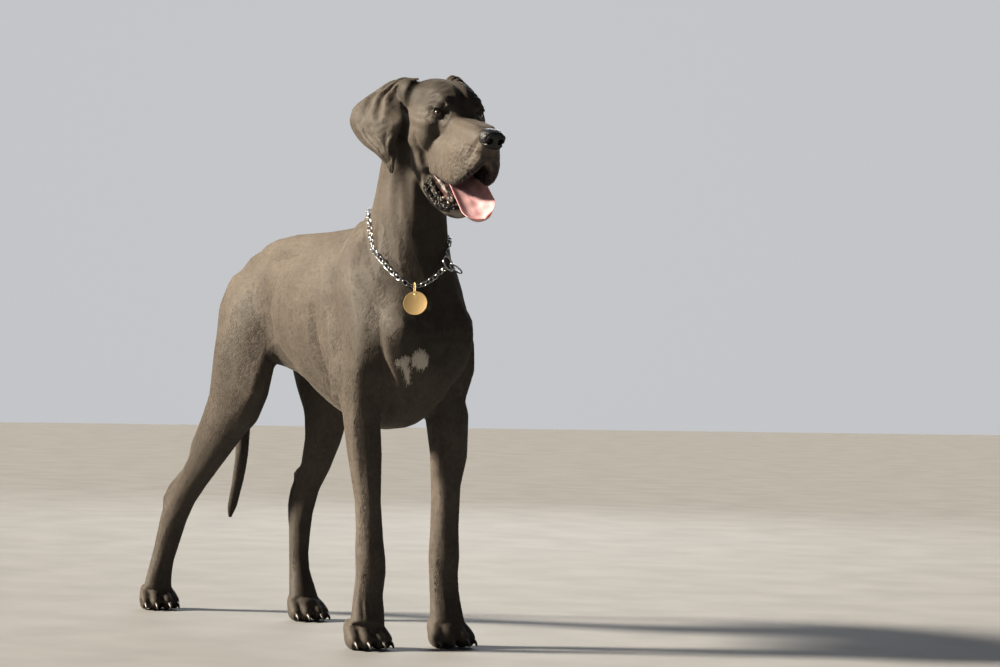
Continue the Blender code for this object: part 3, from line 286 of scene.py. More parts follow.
def paw(bm, x, u, turn, size):
    """arched toes, their claws and the big pad; x, u is the middle of the foot"""
    m = Matrix.Translation(at(x, u, 0)) @ Matrix.Rotation(turn, 4, "Z")
    k = size
    for i, (px, lead) in enumerate(((-0.030, -0.012), (-0.0125, 0.0), (0.0125, 0.0), (0.030, -0.012))):
        splay = px * 0.30
        loft(bm, [(px * 0.75 * k, (-0.020 + lead) * k, 0.050 * k, 0.0105 * k, 0.012 * k, 0.024 * k),
                  (px * k, (0.006 + lead) * k, 0.041 * k, 0.0122 * k, 0.013 * k, 0.034 * k),
                  ((px + splay * 0.5) * k, (0.026 + lead) * k, 0.028 * k, 0.0128 * k, 0.013 * k, 0.031 * k),
                  ((px + splay * 0.8) * k, (0.040 + lead) * k, 0.017 * k, 0.0112 * k, 0.011 * k, 0.021 * k),
                  ((px + splay) * k, (0.046 + lead) * k, 0.013 * k, 0.0070 * k, 0.007 * k, 0.014 * k)],
             sides=14, matrix=m)
    blob(bm, (0, -0.022 * k, 0.016 * k), (0.030 * k, 0.022 * k, 0.020 * k), matrix=m)
    blob(bm, (0, -0.004 * k, 0.038 * k), (0.034 * k, 0.034 * k, 0.022 * k), matrix=m)


def tail(bm):
    loft(bm, [(0.000, -0.664, 0.728, 0.032, 0.030, 0.030),
              (0.000, -0.708, 0.712, 0.029, 0.028, 0.028),
              (0.000, -0.742, 0.680, 0.026, 0.025, 0.025),
              (0.002, -0.762, 0.635, 0.023, 0.023, 0.023),
              (0.004, -0.772, 0.580, 0.0205, 0.021, 0.021),
              (0.006, -0.765, 0.500, 0.0185, 0.0185, 0.0185),
              (0.006, -0.757, 0.420, 0.0165, 0.0165, 0.0165),
              (0.006, -0.762, 0.340, 0.0155, 0.0155, 0.0155),
              (0.006, -0.786, 0.265, 0.0130, 0.013, 0.013),
              (0.006, -0.809, 0.218, 0.0100, 0.010, 0.010),
              (0.006, -0.8165, 0.201, 0.0055, 0.0055, 0.0055)], sides=18)


def hind_leg(bm, rows, heel, foot, turn):
    """rows run from the hip down to the foot; heel is the point of the hock"""
    loft(bm, rows, sides=26)
    loft(bm, heel, sides=14)
    paw(bm, foot[0], foot[1], turn, 0.90)


def hind_right(bm):
    hind_leg(bm,
             [(-0.058, -0.600, 0.725, 0.040, 0.066, 0.060),
              (-0.074, -0.585, 0.665, 0.050, 0.102, 0.092),
              (-0.084, -0.565, 0.600, 0.055, 0.116, 0.100),
              (-0.092, -0.560, 0.535, 0.053, 0.112, 0.106),
              (-0.097, -0.570, 0.475, 0.050, 0.094, 0.098),
              (-0.102, -0.605, 0.425, 0.043, 0.064, 0.072),
              (-0.108, -0.646, 0.380, 0.038, 0.052, 0.054),
              (-0.112, -0.694, 0.335, 0.034, 0.045, 0.041),
              (-0.116, -0.742, 0.292, 0.0305, 0.039, 0.034),
              (-0.120, -0.788, 0.250, 0.0290, 0.039, 0.033),
              (-0.124, -0.816, 0.210, 0.0285, 0.036, 0.032),
              (-0.128, -0.833, 0.170, 0.0272, 0.032, 0.030),
              (-0.132, -0.846, 0.130, 0.0258, 0.028, 0.027),
              (-0.137, -0.853, 0.095, 0.0262, 0.026, 0.026),
              (-0.141, -0.855, 0.065, 0.0290, 0.024, 0.026),
              (-0.143, -0.855, 0.045, 0.0320, 0.024, 0.026)],
             [(-0.115, -0.742, 0.332, 0.007, 0.008, 0.008), (-0.117, -0.787, 0.298, 0.009, 0.011, 0.010),
              (-0.119, -0.832, 0.268, 0.0135, 0.016, 0.013), (-0.121, -0.853, 0.242, 0.0150, 0.022, 0.012),
              (-0.124, -0.855, 0.202, 0.0140, 0.018, 0.010)],
             (-0.143, -0.855), math.radians(-6))


def hind_left(bm):
    hind_leg(bm,
             [(0.058, -0.600, 0.725, 0.040, 0.066, 0.060),
              (0.072, -0.578, 0.665, 0.050, 0.104, 0.096),
              (0.079, -0.545, 0.600, 0.054, 0.118, 0.108),
              (0.080, -0.518, 0.535, 0.052, 0.112, 0.104),
              (0.078, -0.500, 0.475, 0.047, 0.088, 0.086),
              (0.075, -0.498, 0.425, 0.040, 0.068, 0.060),
              (0.072, -0.506, 0.380, 0.0345, 0.052, 0.046),
              (0.069, -0.524, 0.335, 0.030, 0.042, 0.038),
              (0.066, -0.549, 0.292, 0.0260, 0.034, 0.030),
              (0.064, -0.570, 0.250, 0.0250, 0.034, 0.028),
              (0.062, -0.578, 0.210, 0.0250, 0.031, 0.028),
              (0.061, -0.578, 0.170, 0.0235, 0.026, 0.026),
              (0.060, -0.575, 0.130, 0.0225, 0.023, 0.023),
              (0.060, -0.568, 0.095, 0.0240, 0.023, 0.024),
              (0.060, -0.555, 0.065, 0.0290, 0.024, 0.026),
              (0.060, -0.546, 0.045, 0.0320, 0.024, 0.026)],
             [(0.069, -0.566, 0.345, 0.007, 0.008, 0.008), (0.067, -0.595, 0.300, 0.009, 0.010, 0.010),
              (0.065, -0.612, 0.265, 0.0135, 0.015, 0.013), (0.063, -0.617, 0.235, 0.0150, 0.020, 0.012),
              (0.062, -0.603, 0.195, 0.0140, 0.018, 0.010)],
             (0.060, -0.536), 0.0)


# ------------------------------------------------------------ the head
# In the head's own frame: x to its left, ahead of the eyes, above the eyes.
def skull(bm):
    # occiput to brow
    loft(bm, [(0, -SKULL, 0.030, 0.018, 0.018, 0.030),
              (0, -0.150, 0.018, 0.040, 0.038, 0.055),
              (0, -0.115, 0.006, 0.058, 0.053, 0.070),
              (0, -0.075, -0.002, 0.066, 0.061, 0.075),
              (0, -0.045, -0.006, 0.066, 0.064, 0.075),
              (0, -0.020, -0.010, 0.057, 0.060, 0.068),
              (0, 0.000, -0.018, 0.045, 0.044, 0.052),
              (0, 0.020, -0.026, 0.034, 0.028, 0.040)], sides=28, matrix=HEAD, power=2.15)
    for s in (-1, 1):
        # brow, cheek and cheek bone
        blob(bm, (s * 0.030, -0.008, 0.026), (0.017, 0.020, 0.014), matrix=HEAD)
        blob(bm, (s * 0.048, -0.050, -0.040), (0.026, 0.048, 0.046), matrix=HEAD)
        blob(bm, (s * 0.047, -0.032, -0.014), (0.018, 0.040, 0.013), matrix=HEAD)
        # cheek down to the corner of the mouth
        loft(bm, [(s * 0.042, -0.062, -0.045, 0.020, 0.030, 0.030), (s * 0.044, -0.056, -0.085, 0.019, 0.032, 0.030),
                  (s * 0.044, -0.052, -0.118, 0.015, 0.028, 0.028)], sides=16, matrix=HEAD)
        # root of the ear
        blob(bm, (s * 0.056, -0.120, 0.018), (0.024, 0.034, 0.036), matrix=HEAD)


def muzzle(bm):
    loft(bm, [(0, -0.015, -0.044, 0.040, 0.038, 0.044),
              (0, 0.018, -0.037, 0.034, 0.036, 0.045),
              (0, 0.055, -0.036, 0.035, 0.035, 0.045),
              (0, 0.095, -0.036, 0.035, 0.035, 0.043),
              (0, 0.125, -0.037, 0.032, 0.034, 0.040),
              (0, 0.145, -0.040, 0.026, 0.028, 0.033),
              (0, 0.156, -0.044, 0.015, 0.018, 0.022)], sides=26, matrix=HEAD, power=2.6)
    # hanging upper lips
    for s in (-1, 1):
        loft(bm, [(s * 0.038, -0.030, -0.080, 0.010, 0.030, 0.026),
                  (s * 0.036, 0.010, -0.080, 0.011, 0.036, 0.038),
                  (s * 0.0345, 0.050, -0.080, 0.0115, 0.040, 0.045),
                  (s * 0.0325, 0.085, -0.078, 0.0120, 0.040, 0.045),
                  (s * 0.0275, 0.112, -0.072, 0.0125, 0.034, 0.036),
                  (s * 0.0185, 0.134, -0.064, 0.0120, 0.026, 0.024),
                  (s * 0.0080, 0.147, -0.056, 0.0110, 0.018, 0.014)], sides=18, matrix=HEAD, power=2.3)


def lower_jaw(bm):
    """dropped open; rows follow the bone from its joint to the chin"""
    loft(bm, [(0, -0.092, -0.072, 0.048, 0.030, 0.034),
              (0, -0.064, -0.106, 0.053, 0.028, 0.034),
              (0, -0.030, -0.134, 0.051, 0.022, 0.031),
              (0, 0.004, -0.155, 0.045, 0.016, 0.028),
              (0, 0.030, -0.168, 0.034, 0.013, 0.023),
              (0, 0.048, -0.175, 0.025, 0.011, 0.018),
              (0, 0.060, -0.178, 0.012, 0.007, 0.010)], sides=24, matrix=HEAD, power=2.3)


def throat(bm):
    loft(bm, [(0, -0.090, -0.050, 0.050, 0.05, 0.040),
              (0, -0.070, -0.090, 0.046, 0.04, 0.040),
              (0, -0.060, -0.130, 0.042, 0.04, 0.045)], sides=20, matrix=HEAD)


def nose_pad(bm, extra=0.0):
    e = extra
    loft(bm, [(0, 0.128 - e, -0.020, 0.0170 + e, 0.012 + e, 0.013 + e),
              (0, 0.142, -0.021, 0.0232 + e, 0.0170 + e, 0.017 + e),
              (0, 0.157, -0.0225, 0.0240 + e, 0.0185 + e, 0.019 + e),
              (0, 0.167, -0.024, 0.0192 + e, 0.0156 + e, 0.017 + e),
              (0, 0.1720 + e, -0.025, 0.0118 + e, 0.0088 + e, 0.011 + e)], sides=16, steps=1, matrix=HEAD, power=2.3)


TONGUE = [(0.000, -0.020, -0.106, 0.022, 0.0055, 0.0055),
          (0.000, 0.015, -0.114, 0.027, 0.0050, 0.0050),
          (0.000, 0.052, -0.124, 0.0320, 0.0045, 0.0045),
          (-0.001, 0.088, -0.140, 0.0345, 0.0045, 0.0045),
          (-0.002, 0.118, -0.155, 0.0352, 0.0045, 0.0045),
          (-0.003, 0.144, -0.168, 0.0335, 0.0050, 0.0050),
          (-0.003, 0.157, -0.1755, 0.0210, 0.0050, 0.0050)]
TONGUE_ROLL = math.radians(-24)


def tongue_loft(bm):
    """a flat strip that leans over to the right as it leaves the mouth"""
    vs = loft(bm, TONGUE, sides=12, steps=2, matrix=Matrix.Identity(4), power=2.4)
    rows = smooth_rows(TONGUE, 2)
    for ring, row in zip(vs, rows):
        c = Vector((row[0], -row[1], row[2]))
        k = min(1.0, max(0.0, (row[1] + 0.01) / 0.09))
        rot = Matrix.Rotation(TONGUE_ROLL * k, 3, "Y")
        for v in ring:
            d = v.co - c
            d.z += 0.010 * (d.x / 0.027) ** 2 * k - 0.003 * k   # cupped edges
            v.co = HEAD @ (c + rot @ d)


# ------------------------------------------------------------ one skin
def evaluated(ob):
    bpy.context.view_layer.update()
    dg = bpy.context.evaluated_depsgraph_get()
    return bpy.data.meshes.new_from_object(ob.evaluated_get(dg))


def coords(me):
    v = np.empty(len(me.vertices) * 3)
    me.vertices.foreach_get("co", v)
    return v.reshape(-1, 3)


def set_coords(me, v):
    me.vertices.foreach_set("co", np.ascontiguousarray(v, dtype=np.float64).ravel())
    me.update()


def vertex_normals(me):
    n = np.empty(len(me.vertices) * 3, np.float32)
    me.vertices.foreach_get("normal", n)
    return n.reshape(-1, 3).astype(float)


def edge_array(me):
    e = np.empty(len(me.edges) * 2, dtype=np.int32)
    me.edges.foreach_get("vertices", e)
    return e.reshape(-1, 2)


def fade(x, lo, hi):
    t = np.clip((x - lo) / (hi - lo), 0, 1)
    return t * t * (3 - 2 * t)


HEAD_INV = np.array(HEAD.inverted())
HEAD_ROT = np.array(HEAD.to_3x3())


def to_head(v):
    """points -> to its left, ahead of the eyes, above the eyes"""
    w = v @ HEAD_INV[:3, :3].T + HEAD_INV[:3, 3]
    return np.stack([w[:, 0], -w[:, 1], w[:, 2]], 1)


def in_head(l, f, h):
    return HEAD @ Vector((l, -f, h))


def only_outer(me):
    """drop the walls of hollows shut inside the flesh"""
    e = edge_array(me)
    label = np.arange(len(me.vertices))
    while True:
        low = np.minimum(label[e[:, 0]], label[e[:, 1]])
        new = label.copy()
        np.minimum.at(new, e[:, 0], low)
        np.minimum.at(new, e[:, 1], low)
        new = new[new]
        if (new == label).all():
            break
        label = new
    keep = label == np.bincount(label).argmax()
    bm = bmesh.new()
    bm.from_mesh(me)
    bm.verts.ensure_lookup_table()
    bmesh.ops.delete(bm, geom=[v for v in bm.verts if not keep[v.index]], context="VERTS")
    bm.to_mesh(me)
    bm.free()


def fused():
    """trunk, limbs, neck and head run together"""
    bm = bmesh.new()
    trunk(bm)
    neck(bm)
    for s in (-1, 1):
        shoulder(bm, s)
    fore_leg(bm, -1, (-0.0880, 0.026))
    fore_leg(bm, 1, (0.0880, 0.038))
    hind_right(bm)
    hind_left(bm)
    tail(bm)
    skull(bm)
    muzzle(bm)
    lower_jaw(bm)
    throat(bm)
    for s in (-1, 1):                                  # flesh between the masses, so that no slit is left
        blob(bm, (s * 0.103, -0.546, 0.590), (0.027, 0.028, 0.064))
        blob(bm, (s * 0.090, 0.008, 0.612), (0.025, 0.034, 0.052))
    blob(bm, (0.066, -0.596, 0.296), (0.0100, 0.018, 0.024))
    me = bpy.data.meshes.new("fused")
    bm.to_mesh(me)
    bm.free()
    ob = bpy.data.objects.new("fused", me)
    work.objects.link(ob)
    r = ob.modifiers.new("fuse", "REMESH")
    r.mode = "VOXEL"
    r.voxel_size = VOXEL
    me = evaluated(ob)
    bpy.data.objects.remove(ob, do_unlink=True)
    only_outer(me)
    return me


def soft_weight(v):
    """how far each place may be smoothed: most on the trunk and haunches"""
    u = -v[:, 1]
    z = v[:, 2]
    w = 0.10 + 0.33 * fade(z, 0.07, 0.14) + 0.57 * fade(z, 0.30, 0.46)
    tailzone = fade(-u, 0.715, 0.735) * (1 - fade(z, 0.66, 0.72)) * fade(z, 0.15, 0.20)
    w = w * (1 - 0.75 * tailzone)
    h = to_head(v)
    inhead = fade(h[:, 1], -0.09, -0.02) * fade(h[:, 2], -0.25, -0.21)
    return w * (1 - inhead) + 0.26 * inhead


def relax(v, e, w, rounds, hold=False):
    """even out a surface; with hold its bulk is kept"""
    n = len(v)
    deg = np.maximum(np.bincount(e.ravel(), minlength=n), 1).astype(float)[:, None]
    w = w[:, None]
    for i in range(rounds):
        lam = 0.55 if not hold or i % 2 == 0 else -0.53
        s = np.stack([np.bincount(e[:, 0], v[e[:, 1], k], n) + np.bincount(e[:, 1], v[e[:, 0], k], n)
                      for k in range(3)], 1) / deg
        v = v + w * lam * (s - v)
    return v


def soften(me, rounds):
    v, e = coords(me), edge_array(me)
    w = soft_weight(v)
    v = relax(v, e, w, rounds // 2)
    v = relax(v, e, w, rounds // 2, hold=True)
    set_coords(me, v)


def finer(me, pick, rounds=6):
    """halve the grain where pick says so, and even out the new surface"""
    flags = pick(coords(me))
    bm = bmesh.new()
    bm.from_mesh(me)
    bm.verts.ensure_lookup_table()
    edges = [e for e in bm.edges if flags[e.verts[0].index] and flags[e.verts[1].index]]
    bmesh.ops.subdivide_edges(bm, edges=edges, cuts=1, use_grid_fill=True)
    bm.to_mesh(me)
    bm.free()
    v, e = coords(me), edge_array(me)
    w = pick(v).astype(float)
    w = relax(np.stack([w] * 3, 1), e, np.ones(len(v)), 3)[:, 0]
    set_coords(me, relax(v, e, w, rounds, hold=True))


def push(me, spots):
    """each spot: centre, radius, and the move at its middle, in the head's frame"""
    v = coords(me)
    for c, r, d in spots:
        c = np.array(in_head(*c))
        d = np.array(HEAD.to_3x3() @ Vector((d[0], -d[1], d[2])))
        q = np.linalg.norm(v - c, axis=1) / r
        k = np.where(q < 1, (1 - np.minimum(q, 1) ** 2) ** 2, 0)
        v = v + k[:, None] * d
    set_coords(me, v)


EYE_AT = (0.0388, -0.0078, 0.0)      # middle of the left eyeball, head frame
EYE_WAY = (0.52, 0.85, 0.06)         # the way the left eye looks
eye_lo, eye_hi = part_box("eye_right")
SHIFT = (eye_lo + eye_hi) / 2 - in_head(-EYE_AT[0], EYE_AT[1], EYE_AT[2])   # from the body's own middle line to the frame
SHIFT.z = 0.0


def into_frame(me):
    """into the frame, and nothing outside the solids' own box"""
    v = coords(me) + np.array(SHIFT)
    low, high = np.array(CAD_BOX[0]) + 0.0001, np.array(CAD_BOX[1]) - 0.0002
    set_coords(me, np.clip(v, low, high))


ORBITS = [((s * 0.046, 0.004, -0.002), 0.024, (s * -0.004, -0.007, 0.0)) for s in (-1, 1)]
FLEWS = [((s * 0.047, 0.002, -0.099), 0.027, (s * 0.001, -0.002, -0.010)) for s in (-1, 1)]

def ease(me, rounds, low=0.00028, high=0.00060, spots=True):
    """let sharp creases run out where two masses meet, and round the croup"""
    v, e = coords(me), edge_array(me)
    n = vertex_normals(me)
    deg = np.maximum(np.bincount(e.ravel(), minlength=len(v)), 1)[:, None]
    s = np.stack([np.bincount(e[:, 0], v[e[:, 1], k], len(v)) + np.bincount(e[:, 1], v[e[:, 0], k], len(v))
                  for k in range(3)], 1) / deg
    sharp = np.abs(((s - v) * n).sum(1))
    u, z, h = -v[:, 1], v[:, 2], to_head(v)
    tailzone = (u < -0.70) & (np.abs(v[:, 0]) < 0.06)
    body = fade(z, 0.40, 0.46) * (1 - fade(h[:, 1], -0.13, -0.09) * fade(h[:, 2], -0.25, -0.21)) * ~tailzone
    w = fade(sharp, low, high) * body
    w = relax(np.stack([w] * 3, 1), e, np.ones(len(v)), 14)[:, 0]
    w = np.clip(5 * w, 0, 1) * body
    thigh = (1 - fade(np.hypot(u + 0.525, z - 0.550), 0.050, 0.085)) * (v[:, 0] > 0.04)
    croup = fade(z, 0.655, 0.70) * fade(-u, 0.48, 0.54) * (1 - fade(-u, 0.69, 0.72))
    if spots:
        w = np.maximum.reduce([w, thigh, 0.9 * croup])
    v = relax(v, e, w, rounds)
    set_coords(me, v)


skin = fused()
soften(skin, 56)
ease(skin, 90)
push(skin, ORBITS + FLEWS)


def on_face(v):
    h = to_head(v)
    return (h[:, 1] > -0.105) & (h[:, 2] > -0.215) & (h[:, 2] > -0.17 - (h[:, 1] + 0.03) * 0.9) | \
        ((h[:, 1] > -0.19) & (h[:, 2] > -0.02))


def by_eye(v):
    h = to_head(v)
    out = np.zeros(len(v), bool)
    for s in (-1, 1):
        out |= np.linalg.norm(h - np.array([s * 0.044, 0.0, 0.0]), axis=1) < 0.031
    lips = (h[:, 1] > -0.030) & (h[:, 2] < -0.092) & (h[:, 2] > -0.20)
    return out | lips


finer(skin, on_face)
finer(skin, by_eye, 3)


# ------------------------------------------------------------ muscle, fold and lid
class Clay:
    """the skin's points, pulled out or pressed in along lines laid on them"""

    def __init__(self, me):
        self.me = me
        self.v = coords(me)
        self.e = edge_array(me)
        self.look()

    def look(self):
        set_coords(self.me, self.v)
        self.n = vertex_normals(self.me)
        polys = [tuple(p.vertices) for p in self.me.polygons]
        self.tree = BVHTree.FromPolygons([tuple(c) for c in self.v], polys)

    def line(self, pts, r, h, both=True, head=False, lay=True):
        """pts along the line, its half breadth, its height (less than 0 is a groove)"""
        for side in ((1, -1) if both else (1,)):
            if head:
                way = [in_head(p[0] * side, p[1], p[2]) for p in pts]
            else:
                way = [at(p[0] * side, p[1], p[2]) for p in pts]
            fine = []
            for a, b in zip(way[:-1], way[1:]):
                parts = max(1, int((b - a).length / 0.009))
                fine += [a.lerp(b, i / parts) for i in range(parts)]
            way = fine + [way[-1]]
            if lay:
                way = [self.tree.find_nearest(p)[0] for p in way]
            way = np.array([tuple(p) for p in way])
            ks = np.linspace(0, 1, len(way))
            box = np.all((self.v > way.min(0) - r) & (self.v < way.max(0) + r), axis=1)
            idx = np.nonzero(box)[0]
            if not len(idx):
                continue
            p = self.v[idx]
            best = np.full(len(idx), 9.0)
            where = np.zeros(len(idx))
            for a, b, ka, kb in zip(way[:-1], way[1:], ks[:-1], ks[1:]):
                d = b - a
                t = np.clip((p - a) @ d / max(d @ d, 1e-12), 0, 1)
                q = np.linalg.norm(p - a - t[:, None] * d, axis=1)
                near = q < best
                best = np.where(near, q, best)
                where = np.where(near, ka + (kb - ka) * t, where)
            k = np.clip(1 - (best / r) ** 2, 0, 1) ** 2
            k *= 0.35 + 0.65 * np.sin(np.pi * np.clip(where, 0.0, 1.0)) ** 0.5 if len(way) > 2 else 1.0
            self.v[idx] += self.n[idx] * (h * k * (1.0 if head else BODY_GAIN))[:, None]

    def smooth(self, w, rounds, hold=True):
        self.v = relax(self.v, self.e, w, rounds, hold)


BODY_GAIN = 1.60         # how strongly the muscles stand out
clay = Clay(skin)
flat_v = clay.v.copy()

# back and loin
clay.line([(0, -0.20, 0.84), (0, -0.30, 0.82), (0, -0.45, 0.82), (0, -0.56, 0.79)], 0.026, -0.0022, both=False)
clay.line([(0.030, -0.105, 0.835), (0.020, -0.14, 0.835)], 0.030, 0.003)
clay.line([(0.074, -0.520, 0.765), (0.066, -0.495, 0.775)], 0.040, 0.0030)            # point of the hip
clay.line([(0.050, -0.60, 0.775), (0.045, -0.68, 0.735)], 0.040, 0.0015)
clay.line([(0.085, -0.655, 0.69), (0.070, -0.70, 0.66)], 0.030, 0.005)                # point of the buttock
# ribs and flank
for i in range(8):
    u = -0.115 - 0.040 * i
    slant = 0.020 + 0.010 * i
    clay.line([(0.105, u, 0.735), (0.136, u - slant * 0.4, 0.665), (0.139, u - slant * 0.6, 0.600),
               (0.115, u - slant * 0.2, 0.520 + 0.008 * i)], 0.0140, 0.0016)
clay.line([(0.125, -0.405, 0.700), (0.125, -0.375, 0.640), (0.120, -0.325, 0.575), (0.110, -0.250, 0.520),
           (0.095, -0.175, 0.480)], 0.020, 0.0040)                                    # edge of the ribs
clay.line([(0.110, -0.450, 0.715), (0.105, -0.440, 0.660), (0.100, -0.415, 0.605), (0.090, -0.370, 0.550),
           (0.080, -0.300, 0.510)], 0.046, -0.0080)                                   # hollow of the flank
clay.line([(-0.070, -0.420, 0.525), (-0.080, -0.445, 0.500), (-0.088, -0.460, 0.470)], 0.020, 0.004, both=False)
clay.line([(0.128, -0.100, 0.655), (0.126, -0.092, 0.591), (0.115, -0.078, 0.503)], 0.013, -0.0026)
clay.line([(0.122, -0.150, 0.655), (0.124, -0.140, 0.600), (0.118, -0.112, 0.520)], 0.014, -0.0020)
# neck
clay.line([(0.044, 0.034, 0.940), (0.050, 0.040, 0.880), (0.052, 0.050, 0.810), (0.044, 0.078, 0.735),
           (0.026, 0.100, 0.665)], 0.024, -0.0056)
clay.line([(0.045, -0.020, 0.960), (0.062, 0.002, 0.870), (0.074, 0.014, 0.785), (0.088, 0.034, 0.705),
           (0.090, 0.058, 0.625)], 0.024, 0.0045)
clay.line([(0.052, -0.042, 0.950), (0.064, -0.036, 0.880), (0.074, -0.030, 0.810), (0.086, -0.020, 0.740)],
          0.022, -0.0034)
clay.line([(0.030, 0.066, 0.900), (0.034, 0.072, 0.850), (0.036, 0.078, 0.790), (0.026, 0.098, 0.730)],
          0.016, 0.0044)
clay.line([(0.0, 0.080, 0.890), (0.0, 0.092, 0.820), (0.0, 0.108, 0.740), (0.0, 0.128, 0.670)],
          0.018, 0.0030, both=False)
for k in range(3):                                                                   # loose skin of the throat
    clay.line([(0.046 - 0.006 * k, 0.030 + 0.016 * k, 0.935), (0.050 - 0.007 * k, 0.030 + 0.018 * k, 0.890),
               (0.050 - 0.008 * k, 0.026 + 0.022 * k, 0.845)], 0.009, 0.0013)
# shoulder and upper arm
clay.line([(0.042, -0.110, 0.818), (0.080, -0.078, 0.745), (0.102, -0.040, 0.680), (0.112, -0.008, 0.622)],
          0.015, 0.0042)
clay.line([(0.062, -0.060, 0.790), (0.088, -0.020, 0.715), (0.100, 0.022, 0.655)], 0.018, -0.0035)
clay.line([(0.075, -0.130, 0.790), (0.105, -0.105, 0.710), (0.118, -0.075, 0.645), (0.120, -0.040, 0.600)],
          0.020, -0.0045)
clay.line([(0.118, -0.085, 0.610), (0.122, -0.075, 0.560), (0.116, -0.062, 0.505)], 0.040, 0.0070)
clay.line([(0.120, -0.150, 0.640), (0.122, -0.142, 0.570), (0.112, -0.118, 0.490), (0.100, -0.090, 0.440)],
          0.026, -0.0075)
clay.line([(0.125, 0.030, 0.640), (0.130, 0.000, 0.585), (0.126, -0.022, 0.530), (0.118, -0.030, 0.470)],
          0.013, -0.0042)
clay.line([(0.118, 0.052, 0.610), (0.122, 0.040, 0.545), (0.116, 0.028, 0.480), (0.112, 0.020, 0.430)],
          0.020, 0.0035)
clay.line([(0.128, -0.015, 0.640), (0.131, -0.035, 0.590), (0.126, -0.050, 0.540)], 0.010, -0.0022)
clay.line([(0.104, 0.062, 0.640), (0.098, 0.078, 0.580), (0.088, 0.070, 0.510), (0.080, 0.045, 0.450)],
          0.014, -0.0040)
# breast: it is turned a little to the right, towards the side it looks from
clay.line([(-0.060, 0.128, 0.600), (-0.0560, 0.126, 0.575), (-0.050, 0.112, 0.535), (-0.041, 0.097, 0.505),
           (-0.027, 0.058, 0.462), (-0.010, 0.000, 0.424)], 0.014, -0.0085, both=False)
clay.line([(-0.070, 0.118, 0.630), (-0.072, 0.117, 0.608)], 0.026, 0.0075, both=False)
clay.line([(-0.100, 0.078, 0.640), (-0.092, 0.090, 0.590), (-0.078, 0.088, 0.540)], 0.022, 0.0045, both=False)
clay.line([(-0.010, 0.136, 0.630), (-0.018, 0.134, 0.580), (-0.014, 0.118, 0.520)], 0.036, 0.0050, both=False)
for k in range(4):
    clay.line([(-0.058 + 0.017 * k, 0.062 + 0.012 * k, 0.505), (-0.052 + 0.015 * k, 0.045 + 0.010 * k, 0.474),
               (-0.046 + 0.014 * k, 0.020 + 0.006 * k, 0.440)], 0.0062, -0.0030, both=False)
clay.line([(0.060, 0.060, 0.470), (0.050, 0.0, 0.440), (0.046, -0.06, 0.435)], 0.018, -0.0055)
# fore legs
clay.line([(0.108, -0.078, 0.487), (0.106, -0.082, 0.470)], 0.020, 0.0060)            # elbow
clay.line([(0.118, -0.042, 0.470), (0.121, -0.036, 0.430), (0.119, -0.030, 0.390)], 0.010, -0.0030)
clay.line([(0.119, 0.012, 0.455), (0.120, 0.014, 0.400), (0.114, 0.016, 0.340)], 0.018, 0.0036)
clay.line([(0.118, -0.012, 0.430), (0.115, -0.006, 0.350), (0.110, 0.000, 0.270), (0.108, 0.004, 0.210)],
          0.009, -0.0030)
clay.line([(0.116, -0.030, 0.440), (0.112, -0.024, 0.370), (0.106, -0.016, 0.300)], 0.012, 0.0025)
clay.line([(0.066, 0.006, 0.430), (0.066, 0.010, 0.340), (0.066, 0.014, 0.250)], 0.010, -0.0024)
clay.line([(0.088, -0.024, 0.330), (0.087, -0.020, 0.260), (0.086, -0.014, 0.200)], 0.007, 0.0022)
clay.line([(0.098, 0.042, 0.190), (0.094, 0.042, 0.168)], 0.016, 0.0024)              # wrist
clay.line([(0.076, 0.042, 0.185), (0.076, 0.042, 0.165)], 0.012, 0.0018)
clay.line([(0.100, 0.040, 0.146), (0.080, 0.042, 0.146)], 0.008, -0.0018)
for k in (-1, 0, 1):
    clay.line([(0.088 + 0.012 * k, 0.040, 0.135), (0.088 + 0.013 * k, 0.048, 0.100),
               (0.088 + 0.014 * k, 0.056, 0.075)], 0.0055, 0.0018)
    clay.line([(0.088 + 0.012 * k + 0.006, 0.041, 0.125), (0.088 + 0.014 * k + 0.007, 0.049, 0.090),
               (0.088 + 0.015 * k + 0.007, 0.060, 0.060)], 0.005, -0.0018)

